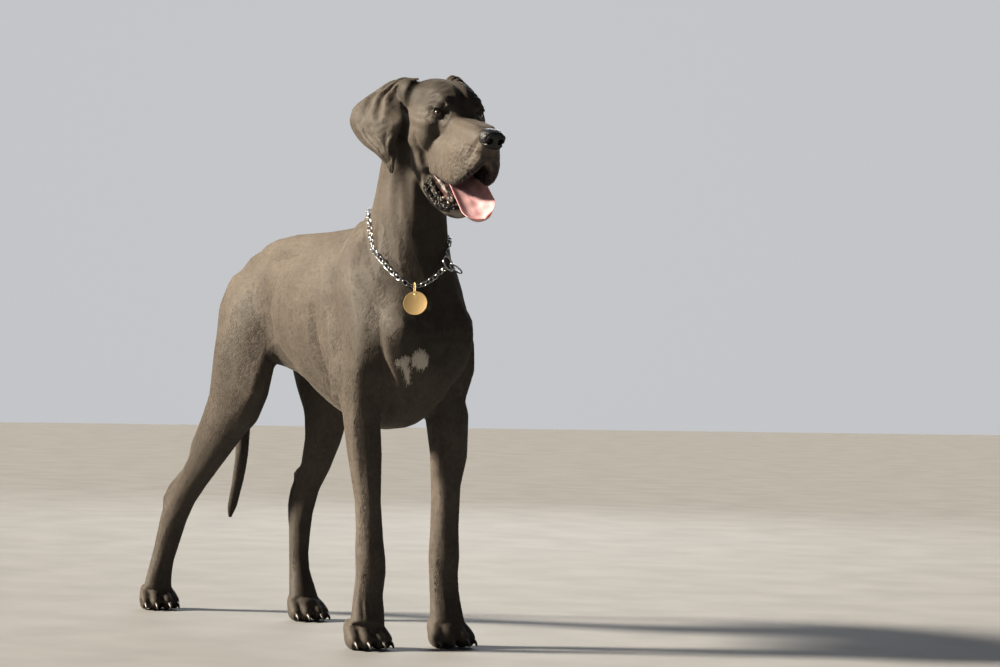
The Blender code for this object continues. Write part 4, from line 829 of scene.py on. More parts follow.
# haunches: the two sides stand differently
HAUNCH = {
    -1: dict(hollow=[(-0.122, -0.390, 0.705), (-0.125, -0.412, 0.640), (-0.128, -0.442, 0.575), (-0.128, -0.465, 0.510)],
             bulge=[(-0.122, -0.520, 0.700), (-0.132, -0.530, 0.630), (-0.138, -0.548, 0.555), (-0.138, -0.560, 0.490)],
             seam=[(-0.115, -0.615, 0.690), (-0.128, -0.625, 0.610), (-0.135, -0.635, 0.520), (-0.135, -0.650, 0.440),
                   (-0.132, -0.680, 0.390)],
             front=[(-0.115, -0.430, 0.620), (-0.118, -0.435, 0.560), (-0.118, -0.448, 0.500)],
             knee=[(-0.112, -0.462, 0.492), (-0.112, -0.478, 0.458)],
             calf=[(-0.138, -0.610, 0.455), (-0.138, -0.655, 0.410), (-0.134, -0.700, 0.365)],
             hamstring=[(-0.110, -0.738, 0.352), (-0.112, -0.775, 0.322), (-0.114, -0.822, 0.290), (-0.116, -0.850, 0.262)],
             pit=[(-0.140, -0.715, 0.345), (-0.142, -0.752, 0.315), (-0.140, -0.798, 0.280), (-0.140, -0.828, 0.250)],
             vein=[(-0.140, -0.590, 0.420), (-0.145, -0.640, 0.392), (-0.146, -0.690, 0.348), (-0.146, -0.728, 0.310),
                   (-0.144, -0.750, 0.275)],
             shin=[(-0.116, -0.610, 0.375), (-0.118, -0.680, 0.310), (-0.121, -0.745, 0.255)],
             hock=[(-0.118, -0.862, 0.256), (-0.119, -0.866, 0.240)],
             cannon=[(-0.148, -0.830, 0.200), (-0.152, -0.845, 0.150), (-0.156, -0.850, 0.110)],
             rear=[(-0.126, -0.876, 0.200), (-0.133, -0.880, 0.150), (-0.138, -0.882, 0.110)]),
    1: dict(hollow=[(0.120, -0.415, 0.705), (0.122, -0.430, 0.640), (0.126, -0.450, 0.575), (0.124, -0.460, 0.510)],
            bulge=[(0.120, -0.515, 0.700), (0.130, -0.515, 0.630), (0.134, -0.515, 0.555), (0.130, -0.510, 0.490)],
            seam=[(0.113, -0.610, 0.690), (0.126, -0.610, 0.610), (0.130, -0.600, 0.520), (0.122, -0.575, 0.440),
                  (0.112, -0.560, 0.390)],
            front=[(0.110, -0.410, 0.620), (0.112, -0.408, 0.560), (0.110, -0.410, 0.500)],
            knee=[(0.088, -0.412, 0.485), (0.086, -0.420, 0.450)],
            calf=[(0.118, -0.545, 0.455), (0.112, -0.550, 0.410), (0.104, -0.556, 0.365)],
            hamstring=[(0.067, -0.572, 0.360), (0.066, -0.590, 0.330), (0.065, -0.612, 0.295), (0.064, -0.622, 0.262)],
            pit=[(0.096, -0.556, 0.360), (0.092, -0.572, 0.325), (0.090, -0.590, 0.285), (0.088, -0.596, 0.250)],
            vein=[(0.108, -0.470, 0.420), (0.104, -0.500, 0.380), (0.098, -0.530, 0.330), (0.092, -0.550, 0.290)],
            shin=[(0.070, -0.455, 0.375), (0.067, -0.492, 0.310), (0.065, -0.530, 0.255)],
            hock=[(0.064, -0.628, 0.250), (0.063, -0.630, 0.232)],
            cannon=[(0.088, -0.572, 0.200), (0.086, -0.572, 0.150), (0.084, -0.566, 0.110)],
            rear=[(0.062, -0.606, 0.200), (0.061, -0.602, 0.150), (0.060, -0.595, 0.110)]),
}
for s, g in HAUNCH.items():
    clay.line(g["hollow"], 0.034, -0.0080, both=False)
    clay.line(g["bulge"], 0.036, 0.0065, both=False)
    clay.line(g["seam"], 0.017, -0.0050, both=False)
    clay.line(g["front"], 0.022, 0.0040, both=False)
    clay.line(g["knee"], 0.022, 0.0050, both=False)
    clay.line(g["calf"], 0.026, 0.0045, both=False)
    clay.line(g["hamstring"], 0.011, 0.0030, both=False)
    deep = 1.0 if s < 0 else 0.30
    clay.line(g["pit"], 0.014, -0.0046 * deep, both=False)
    clay.line([(p[0] - 0.045 * s, p[1], p[2]) for p in g["pit"]], 0.013, -0.0036 * deep, both=False)
    clay.line(g["vein"], 0.0055, 0.0020, both=False)
    clay.line(g["shin"], 0.010, 0.0016, both=False)
    clay.line(g["hock"], 0.015, 0.0030, both=False)
    clay.line(g["cannon"], 0.009, -0.0024, both=False)
    clay.line(g["rear"], 0.010, 0.0018, both=False)

# muscles run into each other: the moves are evened out, not the body
moved = clay.v - flat_v
broad_w = np.clip(1.4 * soft_weight(flat_v), 0.15, 1.0)
moved = relax(moved, clay.e, broad_w, 28)
clay.v = flat_v + moved
set_coords(skin, clay.v)
ease(skin, 36, 0.00018, 0.00040, spots=False)
clay.v = coords(skin)
px, pu, pz = clay.v[:, 0], -clay.v[:, 1], clay.v[:, 2]                               # calm the deepest hollows
calm = np.maximum.reduce([(1 - fade(np.hypot(pu + 0.455, (pz - 0.595) / 1.3), 0.050, 0.085)) * (px < 0),
                          (1 - fade(np.hypot(pu + 0.530, (pz - 0.590) / 1.3), 0.045, 0.080)) * (px > 0),
                          1 - fade(np.hypot(pu - 0.005, (pz - 0.612) / 1.3), 0.040, 0.065)]) * fade(np.abs(px), 0.05, 0.08)
clay.v = relax(clay.v, clay.e, calm, 120)

# ------------------------------------------------------------ head, in its own frame
clay.look()
flat_v = clay.v.copy()
L = lambda pts, r, h, both=True: clay.line(pts, r, h, both=both, head=True)
L([(0.058, -0.105, -0.012), (0.064, -0.066, -0.018), (0.061, -0.032, -0.022), (0.050, -0.004, -0.024)], 0.014, 0.0042)
L([(0.057, -0.080, 0.022), (0.054, -0.050, 0.020), (0.048, -0.030, 0.020)], 0.024, -0.0065)
L([(0.056, -0.022, 0.011), (0.047, 0.002, 0.0150), (0.034, 0.013, 0.0165), (0.022, 0.012, 0.014)], 0.0105, 0.0068)
L([(0, -0.100, 0.058), (0, -0.055, 0.057), (0, -0.022, 0.046), (0, 0.006, 0.018), (0, 0.020, 0.004)], 0.013, -0.0062,
  both=False)
L([(0.026, -0.070, 0.056), (0.026, -0.040, 0.048)], 0.026, 0.0030)
L([(0, -0.158, 0.040), (0, -0.150, 0.048)], 0.022, 0.0040, both=False)
L([(0.040, -0.100, 0.056), (0.052, -0.100, 0.042), (0.062, -0.096, 0.020), (0.067, -0.085, -0.005)], 0.012, -0.0035)
for k in range(3):                                                                   # wrinkles over the brow
    d = 0.0075 * k
    L([(0.058, -0.036 - d, 0.014 + d * 0.6), (0.053, -0.020 - d, 0.026 + d * 0.8), (0.042, -0.008 - d, 0.033 + d),
       (0.030, -0.004 - d, 0.034 + d), (0.018, -0.006 - d, 0.033 + d)], 0.0062, -0.0019 if k % 2 == 0 else 0.0012)
L([(0.009, 0.000, 0.022), (0.008, 0.014, 0.010)], 0.0045, -0.0015)
L([(0.028, 0.022, -0.012), (0.033, 0.038, -0.028), (0.038, 0.052, -0.046)], 0.010, -0.0013)
L([(0.055, 0.000, -0.017), (0.048, 0.012, -0.0205), (0.037, 0.022, -0.018)], 0.0058, 0.0011)
L([(0.060, -0.040, -0.050), (0.058, -0.026, -0.080), (0.053, -0.018, -0.106), (0.050, -0.014, -0.122)], 0.011, -0.0042)
L([(0.062, -0.062, -0.050), (0.062, -0.060, -0.075)], 0.032, 0.0040)
L([(0.058, -0.066, -0.100), (0.055, -0.040, -0.132), (0.052, -0.020, -0.150)], 0.014, 0.0030)
L([(0.058, -0.050, -0.110), (0.056, -0.036, -0.125), (0.052, -0.024, -0.140)], 0.005, -0.0022)
L([(0.020, 0.148, -0.026), (0.026, 0.138, -0.044), (0.029, 0.128, -0.066)], 0.009, -0.0030)
L([(0.018, 0.024, -0.002), (0.0185, 0.070, -0.003), (0.017, 0.125, -0.004)], 0.008, 0.0018)
L([(0, 0.030, 0.0), (0, 0.080, 0.0), (0, 0.125, 0.0)], 0.010, -0.0012, both=False)
L([(0.041, 0.095, -0.050), (0.038, 0.118, -0.052)], 0.028, 0.0040)                   # cushion of the whiskers
L([(0.045, 0.052, -0.070), (0.046, 0.058, -0.100), (0.044, 0.060, -0.120)], 0.009, -0.0016)
L([(0, 0.172, -0.042), (0, 0.166, -0.055), (0, 0.158, -0.066)], 0.0050, -0.0042, both=False)
moved = relax(clay.v - flat_v, clay.e, 0.9 * on_face(flat_v), 10)
clay.v = flat_v + moved
clay.look()
for row in range(5):                                                                 # whisker pits
    for col in range(6):
        f = 0.078 + 0.0125 * col + 0.004 * (row % 2)
        h = -0.034 - 0.0115 * row - 0.0022 * col
        f += 0.0020 * math.sin(7.3 * row + 3.1 * col)
        h += 0.0016 * math.sin(4.7 * row + 8.3 * col)
        L([(0.043, f, h), (0.043, f + 0.0015, h)], 0.0040, -0.0009)
for k in range(5):                                                                   # wrinkled edge of the flews
    f = 0.000 + 0.022 * k
    L([(0.046, f, -0.098), (0.045, f + 0.004, -0.112), (0.040, f + 0.006, -0.122)], 0.0050, -0.0017)

# fine creases in the skin of the flews and the cushion of the whiskers
clay.look()
hz = to_head(clay.v)
fuzz = fade(hz[:, 1], 0.055, 0.085) * (1 - fade(hz[:, 1], 0.148, 0.158)) * fade(-hz[:, 2], 0.028, 0.045) \
    * (1 - fade(-hz[:, 2], 0.118, 0.128)) * (np.abs(hz[:, 0]) > 0.020)
fuzz = np.maximum(fuzz, 0.55 * fade(hz[:, 1], 0.000, 0.020) * (1 - fade(hz[:, 1], 0.06, 0.085)) * fade(-hz[:, 2], 0.080, 0.100)
                  * (1 - fade(-hz[:, 2], 0.118, 0.128)))
for i in np.nonzero(fuzz > 0.05)[0]:
    p = Vector(hz[i])
    q = Vector((p.x * 150, p.y * 330, p.z * 210))
    clay.v[i] += clay.n[i] * fuzz[i] * (0.0009 * noise.noise(q) - 0.0007 * abs(noise.noise(q * 1.9)))

# the lower lip: a wet black trough between the jaw's rim and the tongue
L([(0.020, -0.010, -0.140), (0.018, 0.015, -0.152), (0.012, 0.038, -0.162)], 0.016, -0.0070)
L([(0.048, -0.018, -0.140), (0.044, 0.000, -0.156), (0.034, 0.022, -0.168), (0.022, 0.044, -0.172),
   (0.010, 0.058, -0.172)], 0.008, 0.0030)
L([(0.047, -0.016, -0.128), (0.043, 0.004, -0.145), (0.034, 0.026, -0.158)], 0.008, -0.0045)


def eye_frame(side):
    """middle, the way it looks, to its outer corner, up: in scene axes"""
    c = np.array(in_head(side * EYE_AT[0], EYE_AT[1], EYE_AT[2]))
    a = HEAD_ROT @ np.array([side * EYE_WAY[0], -EYE_WAY[1], EYE_WAY[2]])
    a /= np.linalg.norm(a)
    up = HEAD_ROT @ np.array([0, 0, 1.0])
    s = np.cross(up, a) * side
    s /= np.linalg.norm(s)
    t = np.cross(a, s) * side
    t = t if t @ up > 0 else -t
    return c, a, s, t


def opening(s, t):
    """how far inside the opening between the lids; less than 0 is on the lids"""
    half = np.where(s > 0, 0.0120, 0.0126)
    q = np.clip(np.abs(s) / half, 0, 1.6)
    lift = -0.0006 * s / 0.011
    up = 0.0037 * (1 - q ** 2.0) + lift
    low = -0.0047 * (1 - q ** 2.2) + lift
    return np.minimum(up - t, t - low)


def lids(v, side):
    c, a, ws, wt = eye_frame(side)
    p = v - c
    rho = np.linalg.norm(p, axis=1)
    idx = np.nonzero((rho < 0.030) & (p @ a > 0.0015))[0]
    p, rho = p[idx], rho[idx]
    d = p / rho[:, None]
    # place on the eyeball's own front
    s, t = (d @ ws) * EYE_R, (d @ wt) * EYE_R
    g = opening(s, t)
    lid = EYE_R + 0.0016 + 0.0007 * np.exp(-(np.maximum(-g, 0) / 0.0012) ** 2)
    keep = fade(-g, 0.0020, 0.0075)
    out = lid * (1 - keep) + np.maximum(rho, EYE_R + 0.0012) * keep
    inside = fade(g, -0.0001, 0.0006)
    new = out * (1 - inside) + (EYE_R - 0.0030) * inside
    v[idx] = c + d * new[:, None]


clay.smooth(0.5 * on_face(clay.v), 2)
for s in (-1, 1):
    lids(clay.v, s)
clay.look()
for s in (-1, 1):                                                                    # fold over the upper lid, bag under the lower
    c, a, ws, wt = eye_frame(s)
    for t0, r, h in ((0.0078, 0.0030, -0.0022), (0.0118, 0.0046, 0.0030), (-0.0085, 0.0030, -0.0013)):
        way = []
        for q in np.linspace(-1, 1, 9):
            p = c + a * (EYE_R + 0.002) + ws * q * 0.0125 + wt * (t0 * (1 - 0.45 * q * q))
            way.append(clay.tree.find_nearest(Vector(p))[0])
        pts = [(p.x, -p.y, p.z) for p in way]
        clay.line(pts, r, h, both=False, lay=False)


def lip_zone(hd, n=None):
    """0 to 1: wet black lining of the lower lip and mouth, in the head's frame"""
    l, f, h = hd[:, 0], hd[:, 1], hd[:, 2]
    # line of the hairy rim, from the corner of the mouth down and along to the chin
    rim = np.interp(f, [-0.022, -0.014, -0.004, 0.010, 0.030, 0.050, 0.064],
                    [-0.118, -0.150, -0.168, -0.1790, -0.1825, -0.1790, -0.168])
    low = fade(h - rim, -0.0012, 0.0016) * fade(f, -0.022, -0.017) * (1 - fade(h, -0.100, -0.095)) * (1 - fade(f, 0.068, 0.072))
    under = (1 - fade(h, -0.088, -0.080)) * (1 - fade(np.abs(l), 0.030, 0.034)) * fade(f, -0.03, -0.02)
    return np.clip(np.maximum(low * (h < -0.124), under * (h > -0.135)), 0, 1)


zone = lip_zone(to_head(clay.v))
clay.look()
for i in np.nonzero(zone > 0.15)[0]:
    p = Vector(clay.v[i])
    crinkle = noise.noise(p * 300.0) * 0.0019 + noise.noise(p * 640.0) * 0.0010
    clay.v[i] += clay.n[i] * crinkle * zone[i]

# the coat's depth, less on the soles and on the face
n = clay.n
v = clay.v
depth = COAT * (0.35 + 0.65 * fade(v[:, 2], 0.03, 0.12))
hd = to_head(v)
face = fade(hd[:, 1], -0.10, 0.0)
depth *= 1 - 0.65 * face
v -= n * depth[:, None]
v[:, 2] = np.maximum(v[:, 2], 0.0003)
clay.look()


# ------------------------------------------------------------ ears
EAR_RIGHT = [((-0.040, -0.112, 0.050), (-0.040, -0.150, 0.040), 0.002),
             ((-0.054, -0.120, 0.044), (-0.074, -0.170, 0.032), 0.006),
             ((-0.068, -0.122, 0.020), (-0.104, -0.193, 0.004), 0.010),
             ((-0.078, -0.096, -0.004), (-0.132, -0.203, -0.026), 0.013),
             ((-0.086, -0.068, -0.026), (-0.140, -0.188, -0.056), 0.014),
             ((-0.091, -0.070, -0.052), (-0.134, -0.142, -0.081), 0.012),
             ((-0.095, -0.066, -0.080), (-0.122, -0.090, -0.096), 0.008),
             ((-0.098, -0.054, -0.104), (-0.110, -0.072, -0.111), 0.003),
             ((-0.100, -0.053, -0.125), (-0.102, -0.057, -0.126), 0.000)]
EAR_LEFT = [((0.036, -0.114, 0.046), (0.032, -0.150, 0.048), 0.002),
            ((0.048, -0.118, 0.049), (0.043, -0.156, 0.056), 0.004),
            ((0.062, -0.106, 0.037), (0.066, -0.164, 0.038), 0.006),
            ((0.073, -0.088, 0.018), (0.088, -0.172, 0.008), 0.010),
            ((0.081, -0.072, -0.016), (0.104, -0.162, -0.034), 0.013),
            ((0.083, -0.066, -0.050), (0.104, -0.140, -0.068), 0.010),
            ((0.085, -0.061, -0.082), (0.098, -0.104, -0.094), 0.006),
            ((0.087, -0.057, -0.106), (0.092, -0.072, -0.110), 0.002),
            ((0.088, -0.055, -0.120), (0.089, -0.058, -0.121), 0.000)]




def ear_mesh(side, thick=0.0036, across=26, steps=9):
    """closed flap with a rolled rim and the folds that run down from its root"""
    rows = EAR_RIGHT if side < 0 else EAR_LEFT
    flat = smooth_rows([(*a, *b, k) for a, b, k in rows], steps)
    bm = bmesh.new()
    outer, inner = [], []
    mids = [(Vector(r[0:3]) + Vector(r[3:6])) / 2 for r in flat]
    last = len(flat) - 1
    for i, r in enumerate(flat):
        a, b, k = Vector(r[0:3]), Vector(r[3:6]), r[6]
        run = mids[min(i + 1, last)] - mids[max(i - 1, 0)]
        wide = Vector(flat[min(i, last - 3 * steps // 2)][3:6]) - Vector(flat[min(i, last - 3 * steps // 2)][0:3])
        n = wide.cross(run).normalized()
        if n.x * side * 0.6 + n.z * 0.8 < 0:
            n = -n
        d = i / last                                      # 0 at the root, 1 at the tip
        ro, ri = [], []
        for j in range(across + 1):
            t = j / across
            p = a.lerp(b, t) + n * k * 4 * t * (1 - t)
            fold = 0.0034 * math.exp(-((t - 0.20 - 0.10 * d) / 0.07) ** 2) * math.exp(-((d - 0.28) / 0.24) ** 2)
            fold += 0.0028 * math.exp(-((t - 0.44 - 0.05 * d) / 0.06) ** 2) * math.exp(-((d - 0.30) / 0.20) ** 2)
            fold -= 0.0030 * math.exp(-((t - 0.32 - 0.08 * d) / 0.06) ** 2) * math.exp(-((d - 0.30) / 0.24) ** 2)
            fold -= 0.0032 * math.exp(-((t - 0.62) / 0.09) ** 2) * math.exp(-((d - 0.42) / 0.26) ** 2)
            fold += 0.0026 * math.exp(-((t - 0.80) / 0.07) ** 2) * math.exp(-((d - 0.50) / 0.22) ** 2)
            fold *= 1.20
            fold += 0.0012 * math.sin(17 * t + 9 * d) * (1 - d)
            fold += 0.0024 * noise.noise(Vector((t * 6.5, d * 11.0, 3.1 + side))) * min(1.0, 4 * d)
            fold += 0.0013 * noise.noise(Vector((t * 19.0, d * 26.0, 1.7 + side))) * min(1.0, 4 * d)
            rim = math.exp(-(min(t, 1 - t) / 0.045) ** 2)
            p = p + n * (fold - 0.0012 * rim)
            edge = min(1.0, 9 * t, 9 * (1 - t)) ** 0.5
            th = thick * (0.45 + 0.55 * edge) * (1.0 - 0.35 * d) + 0.0010 * math.exp(-((min(t, 1 - t) - 0.06) / 0.035) ** 2)
            for lst, sgn in ((ro, 0.5), (ri, -0.5)):
                q = p + n * th * sgn
                lst.append(bm.verts.new(HEAD @ Vector((q.x, -q.y, q.z))))
        outer.append(ro)
        inner.append(ri)
    for i in range(last):
        for j in range(across):
            bm.faces.new((outer[i][j], outer[i][j + 1], outer[i + 1][j + 1], outer[i + 1][j]))
            bm.faces.new((inner[i][j], inner[i + 1][j], inner[i + 1][j + 1], inner[i][j + 1]))
        for j in (0, across):
            bm.faces.new((outer[i][j], outer[i + 1][j], inner[i + 1][j], inner[i][j]))
    for i in (0, last):
        for j in range(across):
            bm.faces.new((outer[i][j], inner[i][j], inner[i][j + 1], outer[i][j + 1]))
    bmesh.ops.recalc_face_normals(bm, faces=bm.faces)
    if bm.calc_volume(signed=True) < 0:
        bmesh.ops.reverse_faces(bm, faces=bm.faces)
    inside = [tuple(v.co) for ring in inner for v in ring]
    outside = [tuple(v.co) for ring in outer for v in ring]
    me = bpy.data.meshes.new("ear")
    bm.to_mesh(me)
    bm.free()
    return me, np.array(outside), np.array(inside)


EARS = {}
skin_ob = bpy.data.objects.new("skin", skin)
work.objects.link(skin_ob)
before = BVHTree.FromPolygons([tuple(c) for c in clay.v], [tuple(p.vertices) for p in skin.polygons])
for side in (-1, 1):
    me, outside, inside = ear_mesh(side)
    EARS[side] = (outside, inside)
    ob = bpy.data.objects.new("ear_part_%d" % side, me)
    work.objects.link(ob)
    b = skin_ob.modifiers.new("ear%d" % side, "BOOLEAN")
    b.operation = "UNION"
    b.solver = "MANIFOLD"
    b.object = ob
me = evaluated(skin_ob)
skin_ob.modifiers.clear()
if len(me.vertices) < len(clay.v):
    print("ear union gave", len(me.vertices))
skin_ob.data = me
skin = me
for ob in [o for o in work.objects if o.name.startswith("ear_part")]:
    bpy.data.objects.remove(ob, do_unlink=True)

ear_pts = np.vstack([np.vstack(EARS[s]) for s in (-1, 1)])
ear_kd = KDTree(len(ear_pts))
for i, p in enumerate(ear_pts):
    ear_kd.insert(p, i)
ear_kd.balance()
EAR_FLAGS = np.concatenate([np.concatenate([np.full(len(EARS[s][0]), s * 1), np.full(len(EARS[s][1]), s * 2)])
                            for s in (-1, 1)])


def ear_of(v):
    """which points belong to an ear: 0 none, 1 its outer side, 2 its inner side; and the distance"""
    hd = to_head(v)
    maybe = np.nonzero((hd[:, 1] > -0.22) & (hd[:, 1] < -0.03) & (np.abs(hd[:, 0]) > 0.030))[0]
    kind = np.zeros(len(v), int)
    dist = np.full(len(v), 1.0)
    for i in maybe:
        _, k, d = ear_kd.find(v[i])
        dist[i] = d
        if d < 0.0022:
            kind[i] = abs(EAR_FLAGS[k])
    return kind, dist


# soften the join of ear and skull
v, e = coords(skin), edge_array(skin)
kind, dist = ear_of(v)
join = np.zeros(len(v))
hd = to_head(v)
for i in np.nonzero((dist < 0.006) & (hd[:, 2] > 0.0))[0]:
    d = before.find_nearest(v[i])[3]
    join[i] = max(0.0, 1 - d / 0.006) * max(0.0, 1 - dist[i] / 0.006)
v = relax(v, e, np.clip(join * 1.6, 0, 1), 8)
set_coords(skin, v)

# fewer triangles where the form is plain
group = skin_ob.vertex_groups.new(name="plain")
hd = to_head(v)
fine = ((hd[:, 1] > -0.20) & (hd[:, 2] > -0.21)) | (v[:, 2] < 0.09)
levels = np.where(fine, 0.12, 1.0)
near_mark = (v[:, 1] < -0.085) & (v[:, 2] > 0.50) & (v[:, 2] < 0.59)
levels[near_mark] = 0.3
for lv in np.unique(levels):
    group.add(np.nonzero(levels == lv)[0].tolist(), float(lv), "REPLACE")
tris = sum(len(p.vertices) - 2 for p in skin.polygons)
dec = skin_ob.modifiers.new("fewer", "DECIMATE")
dec.ratio = min(1.0, SKIN_TRIS / tris)
dec.vertex_group = "plain"
dec.vertex_group_factor = 1.0
me = evaluated(skin_ob)
skin_ob.modifiers.clear()
skin_ob.vertex_groups.clear()
skin_ob.data = me
skin = me
print("skin triangles", tris, "->", sum(len(p.vertices) - 2 for p in me.polygons))


# ------------------------------------------------------------ markings, and painted light and shade
def white_mark(x, u, z):
    """the white on the breast: two patches with a dark line between, the right one drawn out downwards"""
    wob = 0.0022 * np.sin(x * 900 + z * 240) + 0.0018 * np.sin(z * 800 - x * 1500) + 0.0014 * np.sin(x * 2300 + 1.3)
    a = 1 - np.hypot((x + 0.0370) / 0.0138, (z - 0.5575 + 0.25 * (x + 0.0370)) / 0.0172)
    b = 1 - np.hypot((x + 0.0665) / 0.0115, (z - 0.5535 - 0.30 * (x + 0.0665)) / 0.0085)
    mid = -0.0655 + (0.5535 - z) * 0.52
    c = 1 - np.abs(x - mid) / np.maximum(0.0095 - (0.5535 - z) * 0.20, 0.0015)
    c = np.where((z < 0.5560) & (z > 0.5165), c, -9)
    d = 1 - np.abs(x + 0.0505 - (0.5400 - z) * 0.30) / 0.0022
    d = np.where((z < 0.5420) & (z > 0.5090), d, -9)
    m = np.maximum.reduce([a * 0.015, b * 0.009, c * 0.006, d * 0.002]) + wob * 0.6
    gap = np.abs(x + 0.0528 - (z - 0.5500) * 0.10) < 0.0016
    m = np.where(gap & (z > 0.543), -1, m)
    m = np.where(np.hypot((x + 0.050) / 0.034, (z - 0.545) / 0.040) > 1, -1, m)
    return np.where((u > 0.075) & (z > 0.50) & (z < 0.59), fade(m, -0.0004, 0.0006), 0.0)


def paint(v, n, kind):
    """markings and painted light and shade at the places v, in the body's own axes: columns tone (the coat's own
    variation, with painted light and shade worked in), white, wet, rim, pad, lie
    """
    x, u, z = v[:, 0], -v[:, 1], v[:, 2]
    hd = to_head(v)
    l, f, h = hd[:, 0], hd[:, 1], hd[:, 2]
    head = fade(f, -0.19, -0.12) * fade(h, -0.23, -0.19)
    tone_and_painted_light = np.ones(len(v))
    tone_and_painted_light *= 1 - 0.12 * head * fade(f, 0.05, 0.14) * fade(h, -0.035, -0.01)          # bridge and nose end
    # painted light: the side of the muzzle is made lighter, where the key falls on it
    tone_and_painted_light *= 1 + 0.16 * head * fade(f, 0.00, 0.05) * fade(-h, 0.010, 0.045)          # side of the muzzle
    # painted shade: the forehead and temple are made darker, where the ear shades them
    tone_and_painted_light *= 1 - 0.52 * head * (1 - fade(f, 0.00, 0.03)) * fade(h, -0.010, 0.025) * (kind == 0)     # forehead
    # painted light: back and rump are made lighter, where the key falls on them
    tone_and_painted_light *= 1 + 0.22 * fade(z, 0.62, 0.78) * fade(-u, 0.10, 0.30)                   # back and rump
    # painted shade: breast and neck are made darker, turned away from the key
    tone_and_painted_light *= 1 - 0.26 * fade(u, -0.06, 0.04) * fade(z, 0.45, 0.60) * (1 - head)       # breast and neck
    # painted shade: the lower thigh and hind leg are made darker
    tone_and_painted_light *= 1 - 0.20 * fade(-u, 0.46, 0.54) * (1 - fade(z, 0.56, 0.68))             # thigh and hind leg
    # painted light: the fore legs are made lighter, where the key falls on them
    tone_and_painted_light *= 1 + 0.14 * (u > -0.12) * (1 - fade(z, 0.40, 0.48)) * fade(z, 0.08, 0.16)   # fore legs
    # painted shade in the hollow round each eye, under the brow
    for s in (-1, 1):
        d = np.linalg.norm(hd - np.array([s * 0.046, 0.004, 0.0]), axis=1)
        tone_and_painted_light *= 1 - 0.42 * (1 - fade(d, 0.012, 0.030))
    # painted shade: the inner side of each ear, turned to the head, is made darker
    tone_and_painted_light *= np.where(kind == 2, 0.72, 1.0)
    tone_and_painted_light *= np.where(kind == 1, 0.92, 1.0)
    tone_and_painted_light *= 1 - 0.10 * (1 - fade(z, 0.03, 0.30))
    # painted light along the top of the back
    tone_and_painted_light *= 1 + 0.07 * fade(z, 0.70, 0.82) * (1 - head)
    tone_and_painted_light *= 1 - 0.25 * fade(-u, 0.77, 0.80) * (1 - fade(z, 0.22, 0.50)) * (z > 0.2) * (np.abs(x) < 0.04)
    belly = fade(-n[:, 2], 0.6, 0.95) * (z > 0.40) * (u < -0.15)
    tone_and_painted_light *= 1 + 0.10 * belly
    tone_and_painted_light *= 1 + 0.035 * np.sin(x * 31 + u * 17) * np.sin(z * 23 - u * 11)
    white = white_mark(x, u, z)
    chin = np.exp(-(np.linalg.norm((hd - np.array([-0.006, 0.062, -0.181])) / np.array([0.020, 0.014, 0.009]), axis=1)) ** 2)
    white = np.maximum(white, 0.55 * np.clip(chin * 1.4 - 0.25, 0, 1))
    wet = lip_zone(hd) * head
    rim = np.zeros(len(v))
    way = np.array([(0.050, -0.015, -0.122), (0.046, 0.025, -0.124), (0.042, 0.091, -0.122), (0.030, 0.130, -0.100),
                    (0.018, 0.150, -0.080), (0.005, 0.158, -0.068)])
    maybe = np.nonzero((f > -0.03) & (h < -0.05) & (h > -0.14))[0]
    q = np.stack([np.abs(l[maybe]), f[maybe], h[maybe]], 1)
    best = np.full(len(maybe), 9.0)
    for a, b in zip(way[:-1], way[1:]):
        d = b - a
        t = np.clip((q - a) @ d / (d @ d), 0, 1)
        best = np.minimum(best, np.linalg.norm(q - a - t[:, None] * d, axis=1))
    rim[maybe] = 1 - fade(best, 0.0045, 0.0085)
    for s in (-1, 1):
        c, a, ws, wt = eye_frame(s)
        p = v - c
        near = np.nonzero(np.linalg.norm(p, axis=1) < 0.020)[0]
        if len(near):
            d = p[near] / np.linalg.norm(p[near], axis=1)[:, None]
            g = opening((d @ ws) * EYE_R, (d @ wt) * EYE_R)
            rim[near] = np.maximum(rim[near], (1 - fade(-g, 0.0012, 0.0038)) * (p[near] @ a > 0))
    pad = (1 - fade(z, 0.003, 0.008)) * fade(-n[:, 2], 0.2, 0.6)
    lie = fade(z, 0.50, 0.62) * (1 - fade(u, -0.02, 0.08))
    return np.stack([tone_and_painted_light, white, wet, rim, pad, lie], 1)


NAMES = ("tone_and_painted_light", "white", "wet", "rim", "pad", "lie")


def put(me, cols):
    for k, name in enumerate(NAMES):
        at_ = me.attributes.get(name) or me.attributes.new(name, "FLOAT", "POINT")
        at_.data.foreach_set("value", np.ascontiguousarray(cols[:, k], dtype=np.float32))


